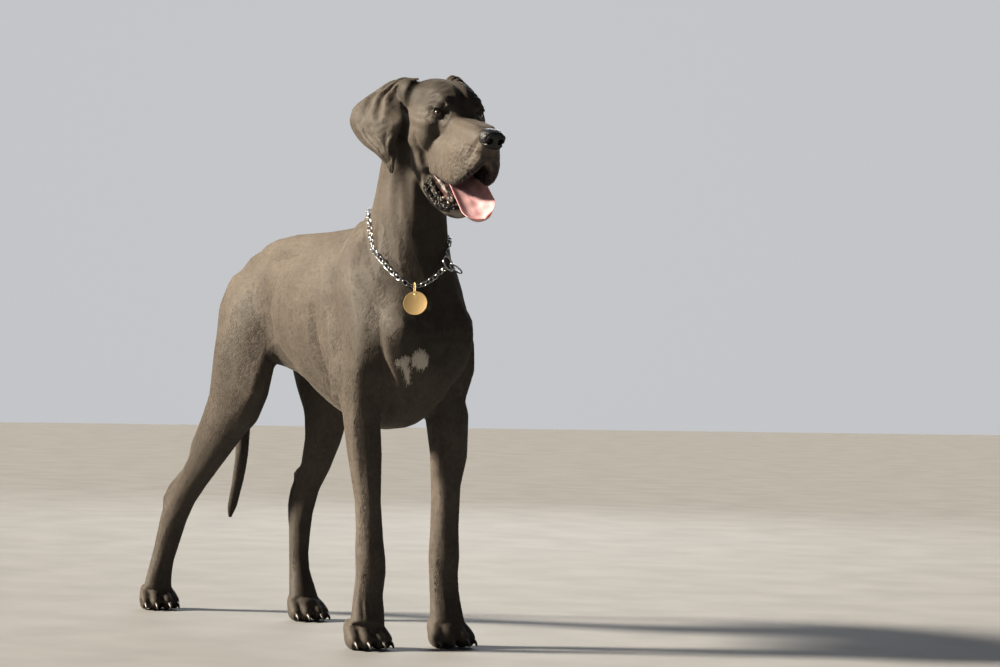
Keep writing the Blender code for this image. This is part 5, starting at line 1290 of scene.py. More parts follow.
def flow(v, n, kind):
    """the way the hair lies: back and down, following each part of the body"""
    x, u, z = v[:, 0], -v[:, 1], v[:, 2]
    hd = to_head(v)
    f, h = hd[:, 1], hd[:, 2]
    d = np.zeros_like(v)

    def add(w, way):
        way = np.array(way, float)
        if way.ndim == 1:
            way = np.tile(way, (len(v), 1))
        d[:] += w[:, None] * np.stack([way[:, 0], -way[:, 1], way[:, 2]], 1)

    one = np.ones(len(v))
    head = fade(f, -0.17, -0.10) * fade(h, -0.23, -0.19)
    fore = fade(u, -0.16, -0.04)
    hind = 1 - fade(u, -0.50, -0.40)
    low = 1 - fade(z, 0.44, 0.56)
    add(one * 0.6 * (1 - head), np.stack([x * 0, -0.95 + x * 0, -0.30 - 0.55 * fade(np.abs(x), 0.06, 0.12)], 1))
    add(fore * (1 - head) * 1.3, (0, -0.18, -1.0))
    add(hind * (1 - head) * fade(-z, -0.74, -0.60) * 1.1, (0, -0.35, -1.0))
    add(low * (1 - head) * 2.0, (0, -0.05, -1.0))
    add(low * hind * (x < 0) * (z > 0.22) * 1.6, (0, -0.70, -0.75))
    paws = 1 - fade(z, 0.05, 0.10)
    add(paws * 3.0, (0, 0.9, -0.55))
    # head: from the nose back over the skull, down the cheeks
    way = np.stack([0.35 * np.sign(hd[:, 0]) * fade(np.abs(hd[:, 0]), 0.01, 0.05), -one, -0.55 * fade(-h, 0.0, 0.07)], 1)
    way = way @ np.array([[1, 0, 0], [0, -1, 0], [0, 0, 1]])
    way = way @ HEAD_ROT.T
    d += head[:, None] * 3.0 * way
    for s in (-1, 1):
        ear = (kind > 0) & (np.sign(hd[:, 0]) == s)
        e = HEAD_ROT @ np.array([s * 0.35, 0.05, -0.95])
        d[ear] = e * 3
    d -= n * (d * n).sum(1)[:, None]
    return d / np.maximum(np.linalg.norm(d, axis=1), 1e-9)[:, None]


# ------------------------------------------------------------ material of skin and coat
def plain(name, colour, rough, metal=0.0):
    m = bpy.data.materials.new(name)
    m.use_nodes = True
    b = m.node_tree.nodes["Principled BSDF"]
    b.inputs["Base Color"].default_value = (*colour, 1)
    b.inputs["Roughness"].default_value = rough
    b.inputs["Metallic"].default_value = metal
    return m, m.node_tree, b


def attr(tree, name):
    n = tree.nodes.new("ShaderNodeAttribute")
    n.attribute_name = name
    return n.outputs["Fac"]


def noise_tex(tree, scale, detail, vector=None, rough=0.5):
    n = tree.nodes.new("ShaderNodeTexNoise")
    n.inputs["Scale"].default_value = scale
    n.inputs["Detail"].default_value = detail
    n.inputs["Roughness"].default_value = rough
    if vector is not None:
        tree.links.new(vector, n.inputs["Vector"])
    return n.outputs["Fac"]


def math_node(tree, op, a, b=None, clamp=False):
    n = tree.nodes.new("ShaderNodeMath")
    n.operation = op
    n.use_clamp = clamp
    for i, q in enumerate((a, b)):
        if q is None:
            continue
        if isinstance(q, (int, float)):
            n.inputs[i].default_value = q
        else:
            tree.links.new(q, n.inputs[i])
    return n.outputs[0]


def mix_rgb(tree, fac, a, b):
    n = tree.nodes.new("ShaderNodeMix")
    n.data_type = "RGBA"
    for i, q in ((0, fac), (6, a), (7, b)):
        if isinstance(q, tuple):
            n.inputs[i].default_value = (*q, 1)
        elif isinstance(q, (int, float)):
            n.inputs[i].default_value = q
        else:
            tree.links.new(q, n.inputs[i])
    return n.outputs[2]


def mix_val(tree, fac, a, b):
    n = tree.nodes.new("ShaderNodeMix")
    n.data_type = "FLOAT"
    for i, q in ((0, fac), (2, a), (3, b)):
        if isinstance(q, (int, float)):
            n.inputs[i].default_value = q
        else:
            tree.links.new(q, n.inputs[i])
    return n.outputs[0]


def ramp(tree, fac, stops):
    n = tree.nodes.new("ShaderNodeValToRGB")
    el = n.color_ramp.elements
    while len(el) < len(stops):
        el.new(0.5)
    for e, (p, c) in zip(el, stops):
        e.position = p
        e.color = (*c, 1)
    tree.links.new(fac, n.inputs[0])
    return n.outputs["Color"]


def stretched(tree, way, along, across):
    """object coordinates squeezed so that a texture draws out along a direction"""
    tc = tree.nodes.new("ShaderNodeTexCoord")
    mp = tree.nodes.new("ShaderNodeMapping")
    mp.vector_type = "TEXTURE"
    mp.inputs["Rotation"].default_value = way
    mp.inputs["Scale"].default_value = (1 / across, 1 / across, 1 / along)
    tree.links.new(tc.outputs["Object"], mp.inputs["Vector"])
    return mp.outputs["Vector"]


COAT_DARK = (0.036, 0.0300, 0.0255)
COAT_LIGHT = (0.096, 0.0800, 0.0660)


def coat_material(name, hair):
    m, t, b = plain(name, COAT_LIGHT, 0.55)
    tone_and_painted_light, white, wet, rim, pad, lie = (attr(t, k) for k in NAMES)
    down = stretched(t, (0.10, 0.0, 0.0), 160, 900)
    back = stretched(t, (math.radians(62), 0.0, 0.0), 160, 900)
    fine = mix_val(t, lie, noise_tex(t, 1.0, 3.0, down), noise_tex(t, 1.0, 3.0, back))
    tc = t.nodes.new("ShaderNodeTexCoord").outputs["Object"]
    broad = noise_tex(t, 14.0, 4.0, tc)
    mottle = noise_tex(t, 95.0, 3.0, tc)
    amount = math_node(t, "ADD", math_node(t, "MULTIPLY", fine, 0.45),
                       math_node(t, "ADD", math_node(t, "MULTIPLY", broad, 0.30), math_node(t, "MULTIPLY", mottle, 0.25)))
    coat = ramp(t, amount, [(0.30, COAT_DARK), (0.50, (0.059, 0.0490, 0.0410)), (0.72, COAT_LIGHT)])
    # the coat colour is scaled by the first marking column, which holds painted light and shade as well as the coat's
    # own variation
    vm = t.nodes.new("ShaderNodeVectorMath")
    vm.operation = "SCALE"
    t.links.new(coat, vm.inputs[0])
    t.links.new(tone_and_painted_light, vm.inputs["Scale"])
    col = mix_rgb(t, white, vm.outputs["Vector"], (0.46, 0.42, 0.37))
    col = mix_rgb(t, rim, col, (0.026, 0.023, 0.022))
    col = mix_rgb(t, pad, col, (0.030, 0.027, 0.026))
    blot = ramp(t, noise_tex(t, 120.0, 3.0, tc), [(0.36, (0.006, 0.006, 0.006)), (0.64, (0.011, 0.009, 0.009)),
                                                  (0.76, (0.10, 0.045, 0.042))])
    col = mix_rgb(t, wet, col, blot)
    t.links.new(col, b.inputs["Base Color"])
    rough = math_node(t, "ADD", math_node(t, "MULTIPLY", fine, 0.20), 0.52)
    rough = mix_val(t, wet, rough, 0.24)
    t.links.new(rough, b.inputs["Roughness"])
    b.inputs["Specular IOR Level"].default_value = 0.15
    b.inputs["Sheen Weight"].default_value = 0.07
    b.inputs["Sheen Roughness"].default_value = 0.38
    b.inputs["Sheen Tint"].default_value = (0.80, 0.74, 0.68, 1)
    bump = t.nodes.new("ShaderNodeBump")
    bump.inputs["Strength"].default_value = 0.35 if hair else 0.55
    bump.inputs["Distance"].default_value = 0.0006
    hgt = math_node(t, "ADD", fine, math_node(t, "MULTIPLY", mottle, 0.8))
    t.links.new(hgt, bump.inputs["Height"])
    t.links.new(bump.outputs["Normal"], b.inputs["Normal"])
    return m


skin_mat = coat_material("skin_and_coat", False)
hair_mat = coat_material("coat_tufts", True)


# ------------------------------------------------------------ finish the skin
def shift_mesh(me):
    into_frame(me)
    me.update()


def atlas(p, n, lo, hi):
    """unwrap of the skin's own shape: six sides laid out in a 3 by 2 sheet"""
    size = np.maximum(hi - lo, 1e-6)
    q = (p - lo) / size.max()
    k = np.argmax(np.abs(n), axis=1)
    s = (n[np.arange(len(n)), k] > 0).astype(int)
    a = np.where(k == 0, q[:, 1], q[:, 0])
    b = np.where(k == 2, q[:, 1], q[:, 2])
    cell_u, cell_v = k, s
    return np.stack([(cell_u + 0.03 + 0.94 * np.clip(a, 0, 1)) / 3, (cell_v + 0.03 + 0.94 * np.clip(b, 0, 1)) / 2], 1)


v = coords(skin)
skin.shade_smooth() if hasattr(skin, "shade_smooth") else None
n = vertex_normals(skin)
kind, _ = ear_of(v)
cols = paint(v, n, kind)
put(skin, cols)
tri = []
skin.calc_loop_triangles()
tri = np.empty(len(skin.loop_triangles) * 3, np.int32)
skin.loop_triangles.foreach_get("vertices", tri)
tri = tri.reshape(-1, 3)


# ------------------------------------------------------------ the coat's tufts
A, B, C = v[tri[:, 0]], v[tri[:, 1]], v[tri[:, 2]]
cr = np.cross(B - A, C - A)
area = np.linalg.norm(cr, axis=1) / 2
mid = (A + B + C) / 3
mid_n = cr / np.maximum(area * 2, 1e-15)[:, None]
tri_cols = (cols[tri[:, 0]] + cols[tri[:, 1]] + cols[tri[:, 2]]) / 3
tri_kind = kind[tri[:, 0]]
hm = to_head(mid)
face = fade(hm[:, 1], -0.14, -0.02) * fade(hm[:, 2], -0.23, -0.20)
paw = 1 - fade(mid[:, 2], 0.06, 0.12)
leg = 1 - fade(mid[:, 2], 0.30, 0.48)
# length, breadth and number per square centimetre
LEN = 0.0105 * (1 - 0.30 * leg) * (1 - 0.50 * face) * (1 - 0.45 * paw)
LEN = np.where(tri_kind > 0, 0.0060, LEN)
WID = 0.00105 * (1 - 0.35 * face) * (1 - 0.25 * paw) * (1 - 0.1 * leg)
DENS = 14.0 + 16.0 * face + 8.0 * paw + 4.0 * leg
DENS = np.where(tri_kind > 0, 18.0, DENS)
near_eye = np.zeros(len(mid))
for s in (-1, 1):
    near_eye = np.maximum(near_eye, np.linalg.norm(hm - np.array([s * 0.044, 0.002, 0.0]), axis=1) < 0.0175)
nose_end = (hm[:, 1] > 0.135) & (hm[:, 2] > -0.045)
bare = (tri_cols[:, 2] > 0.25) | (tri_cols[:, 4] > 0.3) | (near_eye > 0) | (mid[:, 2] < 0.004) | nose_end
want = area * 1e4 * np.where(bare, 0, DENS)
TOTAL = 290000
want *= min(1.0, TOTAL / want.sum())
count = np.floor(want + RNG.random(len(want))).astype(int)
pick = np.repeat(np.arange(len(tri)), count)
r1, r2 = RNG.random(len(pick)), RNG.random(len(pick))
r1s = np.sqrt(r1)
w0, w1, w2 = 1 - r1s, r1s * (1 - r2), r1s * r2
T = tri[pick]
root = v[T[:, 0]] * w0[:, None] + v[T[:, 1]] * w1[:, None] + v[T[:, 2]] * w2[:, None]
rn = n[T[:, 0]] * w0[:, None] + n[T[:, 1]] * w1[:, None] + n[T[:, 2]] * w2[:, None]
rn /= np.maximum(np.linalg.norm(rn, axis=1), 1e-9)[:, None]
rkind = tri_kind[pick]
way = flow(root, rn, rkind)
side_way = np.cross(rn, way)
swing = RNG.normal(0, 0.16, len(pick))
way = way * np.cos(swing)[:, None] + side_way * np.sin(swing)[:, None]
side_way = np.cross(rn, way)
length = LEN[pick] * RNG.uniform(0.70, 1.20, len(pick))
breadth = WID[pick] * RNG.uniform(0.75, 1.25, len(pick))
lift = (0.00016 + 0.00024 * RNG.random(len(pick))) * (1 + 0.4 * (1 - face[pick]))
tip = root + way * length[:, None]
full = BVHTree.FromPolygons([tuple(c) for c in v], [tuple(t) for t in tri])
tn = rn.copy()
for i in range(len(tip)):
    hit, hn, _, d = full.find_nearest(tip[i], 0.008)
    if hit is not None:
        tip[i] = hit + hn * lift[i]
        tn[i] = hn
    else:
        tip[i] = root[i]
ok = np.linalg.norm(tip - root, axis=1) > length * 0.45
root, rn, way, side_way, tip, tn, breadth, rkind, T, w0, w1, w2, length = (
    q[ok] for q in (root, rn, way, side_way, tip, tn, breadth, rkind, T, w0, w1, w2, length))
# the tufts take the skin's markings, with the painted light and shade in them
rc = cols[T[:, 0]] * w0[:, None] + cols[T[:, 1]] * w1[:, None] + cols[T[:, 2]] * w2[:, None]
stray = RNG.normal(0, 1, (len(root), 2)) * np.array([0.0013, 0.0026])
rc[:, 1] = np.maximum(white_mark(root[:, 0] + stray[:, 0], -root[:, 1], root[:, 2] + stray[:, 1]), rc[:, 1] * (root[:, 2] > 0.7))
rc[:, 0] *= RNG.normal(1.0, 0.07, len(root)).clip(0.8, 1.2)

PIECES = {}
ux, uz, uh = -root[:, 1], root[:, 2], to_head(root)
zone_head = (uh[:, 1] > -0.20) & (uh[:, 2] > -0.215) & ((uz > 0.93) | (uh[:, 1] > -0.06))
zone_ear = rkind > 0
zone_leg_f = (uz < 0.47) & (ux > -0.14)
zone_hind = (uz < 0.50) & (ux < -0.36)
zone_tail = (ux < -0.715) & (np.abs(root[:, 0]) < 0.035) & (uz > 0.19) & (uz < 0.70)
zone_neck = (uz > 0.76) & (ux > -0.10)
label = np.full(len(root), 0)
label[(root[:, 0] >= 0)] = 1
label[(ux < -0.42) & (root[:, 0] < 0)] = 2
label[(ux < -0.42) & (root[:, 0] >= 0)] = 3
label[zone_neck] = 4
label[zone_hind & (root[:, 0] < 0)] = 5
label[zone_hind & (root[:, 0] >= 0)] = 6
label[zone_leg_f] = 7
label[zone_tail] = 8
label[zone_head] = 9
label[zone_ear] = 10
NAME_OF = ["coat_side_right", "coat_side_left", "coat_rump_right", "coat_rump_left", "coat_neck", "coat_hindleg_right",
           "coat_hindleg_left", "coat_forelegs", "coat_tail", "coat_head", "coat_ears"]


def tufts(name, k):
    sel = np.nonzero(label == k)[0]
    m = len(sel)
    p, nn, sw, tp, br, tnn = root[sel], rn[sel], side_way[sel], tip[sel], breadth[sel], tn[sel]
    verts = np.empty((m, 4, 3))
    verts[:, 0] = p + sw * (br / 2)[:, None] - nn * 0.00015
    verts[:, 1] = p - sw * (br / 2)[:, None] - nn * 0.00015
    verts[:, 2] = p + nn * (br * 0.32)[:, None] + (tp - p) * 0.12
    verts[:, 3] = tp
    faces = (np.arange(m)[:, None, None] * 4 + np.array([[0, 2, 3], [2, 1, 3], [0, 3, 1], [0, 1, 2]])[None]).reshape(-1, 3)
    me = bpy.data.meshes.new(name)
    me.vertices.add(m * 4)
    me.vertices.foreach_set("co", np.clip(verts.reshape(-1, 3) + np.array(SHIFT), np.array(CAD_BOX[0]) + 0.0001,
                                          np.array(CAD_BOX[1]) - 0.0001).ravel())
    me.loops.add(len(faces) * 3)
    me.loops.foreach_set("vertex_index", faces.ravel().astype(np.int32))
    me.polygons.add(len(faces))
    me.polygons.foreach_set("loop_start", (np.arange(len(faces)) * 3).astype(np.int32))
    me.polygons.foreach_set("use_smooth", np.ones(len(faces), bool))
    me.update(calc_edges=True)
    lo, hi = p.min(0), p.max(0)
    base = atlas(p, nn, lo, hi)
    off = np.array([[0.0012, -0.0010], [-0.0012, -0.0010], [0.0, 0.0002], [0.0, 0.0015]])
    uv = (base[:, None] + off[None]).reshape(-1, 2)[faces.ravel()]
    lay = me.uv_layers.new(name="OFBake")
    lay.data.foreach_set("uv", np.ascontiguousarray(uv, dtype=np.float32).ravel())
    put(me, np.repeat(rc[sel], 4, axis=0))
    norm = np.stack([nn * 0.97 + sw * 0.22, nn * 0.97 - sw * 0.22, nn, tnn * 0.9 + nn * 0.1], 1)
    norm /= np.linalg.norm(norm, axis=2)[:, :, None]
    me.normals_split_custom_set_from_vertices(norm.reshape(-1, 3).tolist())
    me.materials.append(hair_mat)
    ob = bpy.data.objects.new(name, me)
    bpy.context.scene.collection.objects.link(ob)
    return ob


coat_obs = [tufts(nm, k) for k, nm in enumerate(NAME_OF) if (label == k).any()]
print("tufts", len(root), {ob.name: len(ob.data.polygons) for ob in coat_obs})

# the same kind of unwrap is worked out for the skin, but no UV map is made from it
lo, hi = v.min(0), v.max(0)
skin.polygons.foreach_set("use_smooth", np.ones(len(skin.polygons), bool))
skin_uv = atlas(v, n, lo, hi)
loops = np.empty(len(skin.loops), np.int32)
skin.loops.foreach_get("vertex_index", loops)
shift_mesh(skin)
skin.materials.clear()
skin.materials.append(skin_mat)
skin_ob.name = "skin_of_dog"
work.objects.unlink(skin_ob)
bpy.context.scene.collection.objects.link(skin_ob)
FLESH = ["trunk", "neck", "head", "lower_jaw", "ear_left", "ear_right", "tail",
         "thigh_left", "thigh_right", "shank_left", "shank_right", "hock_left", "hock_right",
         "hindpaw_left", "hindpaw_right", "foreleg_left", "foreleg_right", "forepaw_left", "forepaw_right"]
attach(skin_ob, "root")
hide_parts(*FLESH)
for ob in coat_obs:
    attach(ob, "root")


# ------------------------------------------------------------ pieces of their own
def piece(name, me, mat, slot, *nodes, smooth=True):
    """a mesh made in the body's own axes -> a piece in the frame, riding on the one body"""
    if isinstance(me, bmesh.types.BMesh):
        bm, me = me, bpy.data.meshes.new(name)
        bmesh.ops.recalc_face_normals(bm, faces=bm.faces)
        bm.to_mesh(me)
        bm.free()
    into_frame(me)
    if smooth:
        me.polygons.foreach_set("use_smooth", np.ones(len(me.polygons), bool))
    me.materials.clear()
    me.materials.append(mat)
    ob = bpy.data.objects.new(name, me)
    bpy.context.scene.collection.objects.link(ob)
    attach(ob, "root")
    if nodes:
        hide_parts(*nodes)
    return ob


def object_noise(t, scale, detail=3.0):
    return noise_tex(t, scale, detail, t.nodes.new("ShaderNodeTexCoord").outputs["Object"])


def add_bump(t, b, height, dist, strength=1.0):
    bump = t.nodes.new("ShaderNodeBump")
    bump.inputs["Strength"].default_value = strength
    bump.inputs["Distance"].default_value = dist
    t.links.new(height, bump.inputs["Height"])
    t.links.new(bump.outputs["Normal"], b.inputs["Normal"])


# eyes: amber brown iris, dark pupil, wet front
def eye_material():
    m, t, b = plain("eye_wet", (0.05, 0.02, 0.01), 0.30)
    r = attr(t, "away")
    wedge = attr(t, "around")
    comb = t.nodes.new("ShaderNodeCombineXYZ")
    t.links.new(math_node(t, "MULTIPLY", wedge, 26.0), comb.inputs[0])
    t.links.new(math_node(t, "MULTIPLY", r, 3.0), comb.inputs[1])
    fibres = noise_tex(t, 1.0, 2.0, comb.outputs[0])
    shifted = math_node(t, "ADD", r, math_node(t, "MULTIPLY", math_node(t, "SUBTRACT", fibres, 0.5), 0.05))
    col = ramp(t, shifted, [(0.0, (0.002, 0.002, 0.002)), (0.225, (0.003, 0.002, 0.002)), (0.260, (0.048, 0.029, 0.015)),
                            (0.40, (0.040, 0.023, 0.012)), (0.54, (0.014, 0.008, 0.006)), (0.60, (0.004, 0.003, 0.003)),
                            (0.76, (0.035, 0.026, 0.023))])
    t.links.new(col, b.inputs["Base Color"])
    b.inputs["Coat Weight"].default_value = 0.8
    b.inputs["Coat Roughness"].default_value = 0.03
    b.inputs["Coat IOR"].default_value = 1.38
    b.inputs["Specular IOR Level"].default_value = 0.3
    return m


eye_mat = eye_material()
for side, word in ((-1, "right"), (1, "left")):
    c, a, ws, wt = eye_frame(side)
    bm = bmesh.new()
    bmesh.ops.create_uvsphere(bm, u_segments=48, v_segments=40, radius=EYE_R - 0.0002)
    me = bpy.data.meshes.new("eye")
    bm.to_mesh(me)
    bm.free()
    p = coords(me)
    d = p / np.linalg.norm(p, axis=1)[:, None]
    away = np.arccos(np.clip(d[:, 2], -1, 1))
    bulge = 0.0010 * np.clip(1 - (away / 0.62) ** 2, 0, 1)
    p = d * (EYE_R - 0.0002 + bulge)[:, None]
    around = np.arctan2(d[:, 1], d[:, 0]) / (2 * math.pi)
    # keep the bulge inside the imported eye's place
    world = c + (p[:, 0:1] * ws + p[:, 1:2] * wt + p[:, 2:3] * a) - a * 0.0006
    set_coords(me, world)
    for nm, val in (("away", away), ("around", np.abs(around))):
        at_ = me.attributes.new(nm, "FLOAT", "POINT")
        at_.data.foreach_set("value", val.astype(np.float32))
    bm = bmesh.new()
    bm.from_mesh(me)
    bmesh.ops.recalc_face_normals(bm, faces=bm.faces)
    bm.to_mesh(me)
    bm.free()
    piece("eyeball_" + word, me, eye_mat, "eye", "eye_" + word)
    # the pink corner by the nose, and the wet edge along the lower lid
    bm = bmesh.new()
    rows = []
    for q in np.linspace(-0.96, 0.90, 12):
        s_, t_ = q * 0.0118, -0.0050 * (1 - abs(q) ** 2.2) - 0.0002
        dd = Vector(a + ws * (s_ / EYE_R) * 1.15 + wt * (t_ / EYE_R) * 1.15).normalized()
        pos = Vector(c) + dd * (EYE_R + 0.0005)
        rows.append((pos.x, -pos.y, pos.z, 0.0007 + 0.0011 * max(0.0, -q - 0.45), 0.0007, 0.0007))
    loft(bm, rows, sides=8, steps=2)
    haw, t, b = plain("lid_edge_%s" % word, (0.055, 0.022, 0.020), 0.15)
    t.links.new(ramp(t, object_noise(t, 300.0), [(0.35, (0.010, 0.007, 0.007)), (0.65, (0.040, 0.018, 0.016))]),
                b.inputs["Base Color"])
    piece("lid_edge_" + word, bm, haw, "eye")

# nose leather
nose_mat, t, b = plain("nose_leather", (0.010, 0.010, 0.011), 0.42)
b.inputs["Specular IOR Level"].default_value = 0.32
vor = t.nodes.new("ShaderNodeTexVoronoi")
vor.inputs["Scale"].default_value = 950.0
t.links.new(t.nodes.new("ShaderNodeTexCoord").outputs["Object"], vor.inputs["Vector"])
t.links.new(ramp(t, vor.outputs["Distance"], [(0.0, (0.012, 0.012, 0.013)), (0.7, (0.004, 0.004, 0.0045))]),
            b.inputs["Base Color"])
add_bump(t, b, math_node(t, "SUBTRACT", 1.0, vor.outputs["Distance"]), 0.0005, 0.7)
b.inputs["Coat Weight"].default_value = 0.12
b.inputs["Coat Roughness"].default_value = 0.25

bm = bmesh.new()
loft(bm, [(0, 0.118, -0.018, 0.006, 0.008, 0.012),
          (0, 0.129, -0.019, 0.0168, 0.0125, 0.015),
          (0, 0.141, -0.0205, 0.0226, 0.0160, 0.0165),
          (0, 0.153, -0.0220, 0.0234, 0.0180, 0.0185),
          (0, 0.162, -0.0232, 0.0218, 0.0172, 0.0182),
          (0, 0.1685, -0.0245, 0.0176, 0.0138, 0.0152),
          (0, 0.1712, -0.0252, 0.0095, 0.0070, 0.0090),
          (0, 0.1716, -0.0254, 0.0012, 0.0012, 0.0012)], sides=64, steps=7, matrix=HEAD, power=2.35)
nose_me = bpy.data.meshes.new("nose")
bm.to_mesh(nose_me)
bm.free()
nose_ob = bpy.data.objects.new("nose_part", nose_me)
work.objects.link(nose_ob)
for side in (-1, 1):
    bm = bmesh.new()
    loft(bm, [(side * 0.0070, 0.1800, -0.0270, 0.0046, 0.0050, 0.0052), (side * 0.0106, 0.1700, -0.0258, 0.0064, 0.0062, 0.0062),
              (side * 0.0120, 0.1600, -0.0248, 0.0062, 0.0056, 0.0058), (side * 0.0100, 0.1460, -0.0240, 0.0030, 0.0030, 0.0030)],
         sides=28, steps=4, matrix=HEAD)
    loft(bm, [(side * 0.0140, 0.1720, -0.0285, 0.0030, 0.0034, 0.0032), (side * 0.0200, 0.1640, -0.0312, 0.0024, 0.0036, 0.0026),
              (side * 0.0240, 0.1530, -0.0325, 0.0016, 0.0050, 0.0020), (side * 0.0255, 0.1420, -0.0325, 0.0008, 0.0040, 0.0012)],
         sides=16, steps=4, matrix=HEAD)
    me = bpy.data.meshes.new("nostril")
    bm.to_mesh(me)
    bm.free()
    cutter = bpy.data.objects.new("nostril_%d" % side, me)
    work.objects.link(cutter)
    bo = nose_ob.modifiers.new("n%d" % side, "BOOLEAN")
    bo.operation = "DIFFERENCE"
    bo.solver = "EXACT"
    bo.use_self = True
    bo.object = cutter
nose_me = evaluated(nose_ob)
for ob in [o for o in work.objects if o.name.startswith(("nose_part", "nostril"))]:
    bpy.data.objects.remove(ob, do_unlink=True)
nose_clay = Clay(nose_me)
nose_clay.line([(0, 0.166, -0.008), (0, 0.1715, -0.020), (0, 0.1720, -0.030), (0, 0.1690, -0.042)], 0.0026, -0.0016,
               both=False, head=True)
for s in (-1, 1):
    nose_clay.line([(0.0175 * s, 0.165, -0.018), (0.021 * s, 0.158, -0.024)], 0.0060, 0.0014, both=False, head=True)
nose_clay.smooth(np.full(len(nose_clay.v), 0.5), 4)
set_coords(nose_me, nose_clay.v)
piece("nose_pad", nose_me, nose_mat, "nose_leather", "nose")

# tongue: broad, cupped, its edge rolled, leaning over to the right
TONGUE_FINE = [(0.000, -0.040, -0.104, 0.018, 0.0060, 0.0060),
               (0.000, -0.020, -0.107, 0.022, 0.0052, 0.0052),
               (0.000, 0.015, -0.114, 0.0265, 0.0042, 0.0046),
               (0.000, 0.052, -0.124, 0.0312, 0.0036, 0.0042),
               (-0.001, 0.088, -0.140, 0.0335, 0.0034, 0.0042),
               (-0.002, 0.118, -0.155, 0.0342, 0.0036, 0.0044),
               (-0.003, 0.142, -0.167, 0.0326, 0.0038, 0.0046),
               (-0.003, 0.1535, -0.1730, 0.0255, 0.0036, 0.0044),
               (-0.003, 0.1590, -0.1760, 0.0145, 0.0028, 0.0032),
               (-0.003, 0.1605, -0.1768, 0.0042, 0.0012, 0.0014)]
bm = bmesh.new()
vs = loft(bm, TONGUE_FINE, sides=44, steps=8, matrix=Matrix.Identity(4), power=2.3)
fine_rows = smooth_rows(TONGUE_FINE, 8)
for ring_, row in zip(vs, fine_rows):
    c = Vector((row[0], -row[1], row[2]))
    k = min(1.0, max(0.0, (row[1] + 0.01) / 0.09))
    rot = Matrix.Rotation(TONGUE_ROLL * k, 3, "Y")
    tipness = max(0.0, (row[1] - 0.125) / 0.036)
    for vv in ring_:
        d = vv.co - c
        q = d.x / max(row[3], 0.004)
        d.z += 0.0115 * q * q * k * (row[3] / 0.034) - 0.0030 * k
        d.z += 0.0036 * max(0.0, abs(q) - 0.70) / 0.30 * k              # rolled edge
        d.z -= 0.0036 * math.exp(-((q - 0.06) / 0.12) ** 2) * (1 - 0.6 * tipness) * (1 if d.z > -0.001 else 0.2)
        d.z += 0.0007 * math.sin(row[1] * 210 + q * 2.2) * (1 - abs(q)) * k
        d.z += 0.0062 * min(1.0, tipness) ** 2                          # tip turned up a little
        vv.co = HEAD @ (c + Vector((0.0055 * k, 0, 0)) + rot @ d)
tongue_mat, t, b = plain("tongue_wet", (0.50, 0.26, 0.31), 0.32)
spots = object_noise(t, 900.0, 2.0)
wide = object_noise(t, 40.0, 3.0)
col = ramp(t, math_node(t, "ADD", math_node(t, "MULTIPLY", wide, 0.7), math_node(t, "MULTIPLY", spots, 0.3)),
           [(0.32, (0.36, 0.180, 0.205)), (0.50, (0.50, 0.295, 0.315)), (0.70, (0.60, 0.400, 0.415))])
t.links.new(col, b.inputs["Base Color"])
b.inputs["Subsurface Weight"].default_value = 0.35
b.inputs["Subsurface Radius"].default_value = (0.006, 0.002, 0.0015)
b.inputs["Subsurface Scale"].default_value = 1.0
b.inputs["Coat Weight"].default_value = 0.35
b.inputs["Coat Roughness"].default_value = 0.18
add_bump(t, b, math_node(t, "ADD", spots, wide), 0.0006, 0.6)
piece("tongue_soft", bm, tongue_mat, "tongue", "tongue")

# floor of the mouth, under the tongue
mouth_mat, t, b = plain("mouth_lining", (0.10, 0.035, 0.034), 0.42)
col = ramp(t, object_noise(t, 110.0, 4.0), [(0.38, (0.008, 0.006, 0.006)), (0.56, (0.026, 0.012, 0.012)),
                                             (0.74, (0.17, 0.075, 0.072))])
t.links.new(col, b.inputs["Base Color"])
b.inputs["Coat Weight"].default_value = 0.08
b.inputs["Coat Roughness"].default_value = 0.25
b.inputs["Specular IOR Level"].default_value = 0.30
add_bump(t, b, object_noise(t, 260.0, 3.0), 0.0016, 0.9)
bm = bmesh.new()
loft(bm, [(0, -0.060, -0.098, 0.030, 0.022, 0.030), (0.0, -0.030, -0.110, 0.034, 0.010, 0.030),
          (-0.002, 0.000, -0.124, 0.033, 0.012, 0.026), (-0.004, 0.024, -0.139, 0.027, 0.014, 0.020),
          (-0.006, 0.044, -0.152, 0.021, 0.013, 0.017), (-0.006, 0.055, -0.160, 0.013, 0.009, 0.011)],
     sides=36, steps=6, matrix=HEAD, power=2.2)
floor_me = bpy.data.meshes.new("mouth_floor")
bm.to_mesh(floor_me)
bm.free()
fc = Clay(floor_me)
for i in range(len(fc.v)):
    p = Vector(fc.v[i])
    fc.v[i] += fc.n[i] * (noise.noise(p * 150.0) * 0.0036 + noise.noise(p * 340.0) * 0.0020 - 0.0022)
set_coords(floor_me, fc.v)
piece("mouth_floor", floor_me, mouth_mat, "tongue")

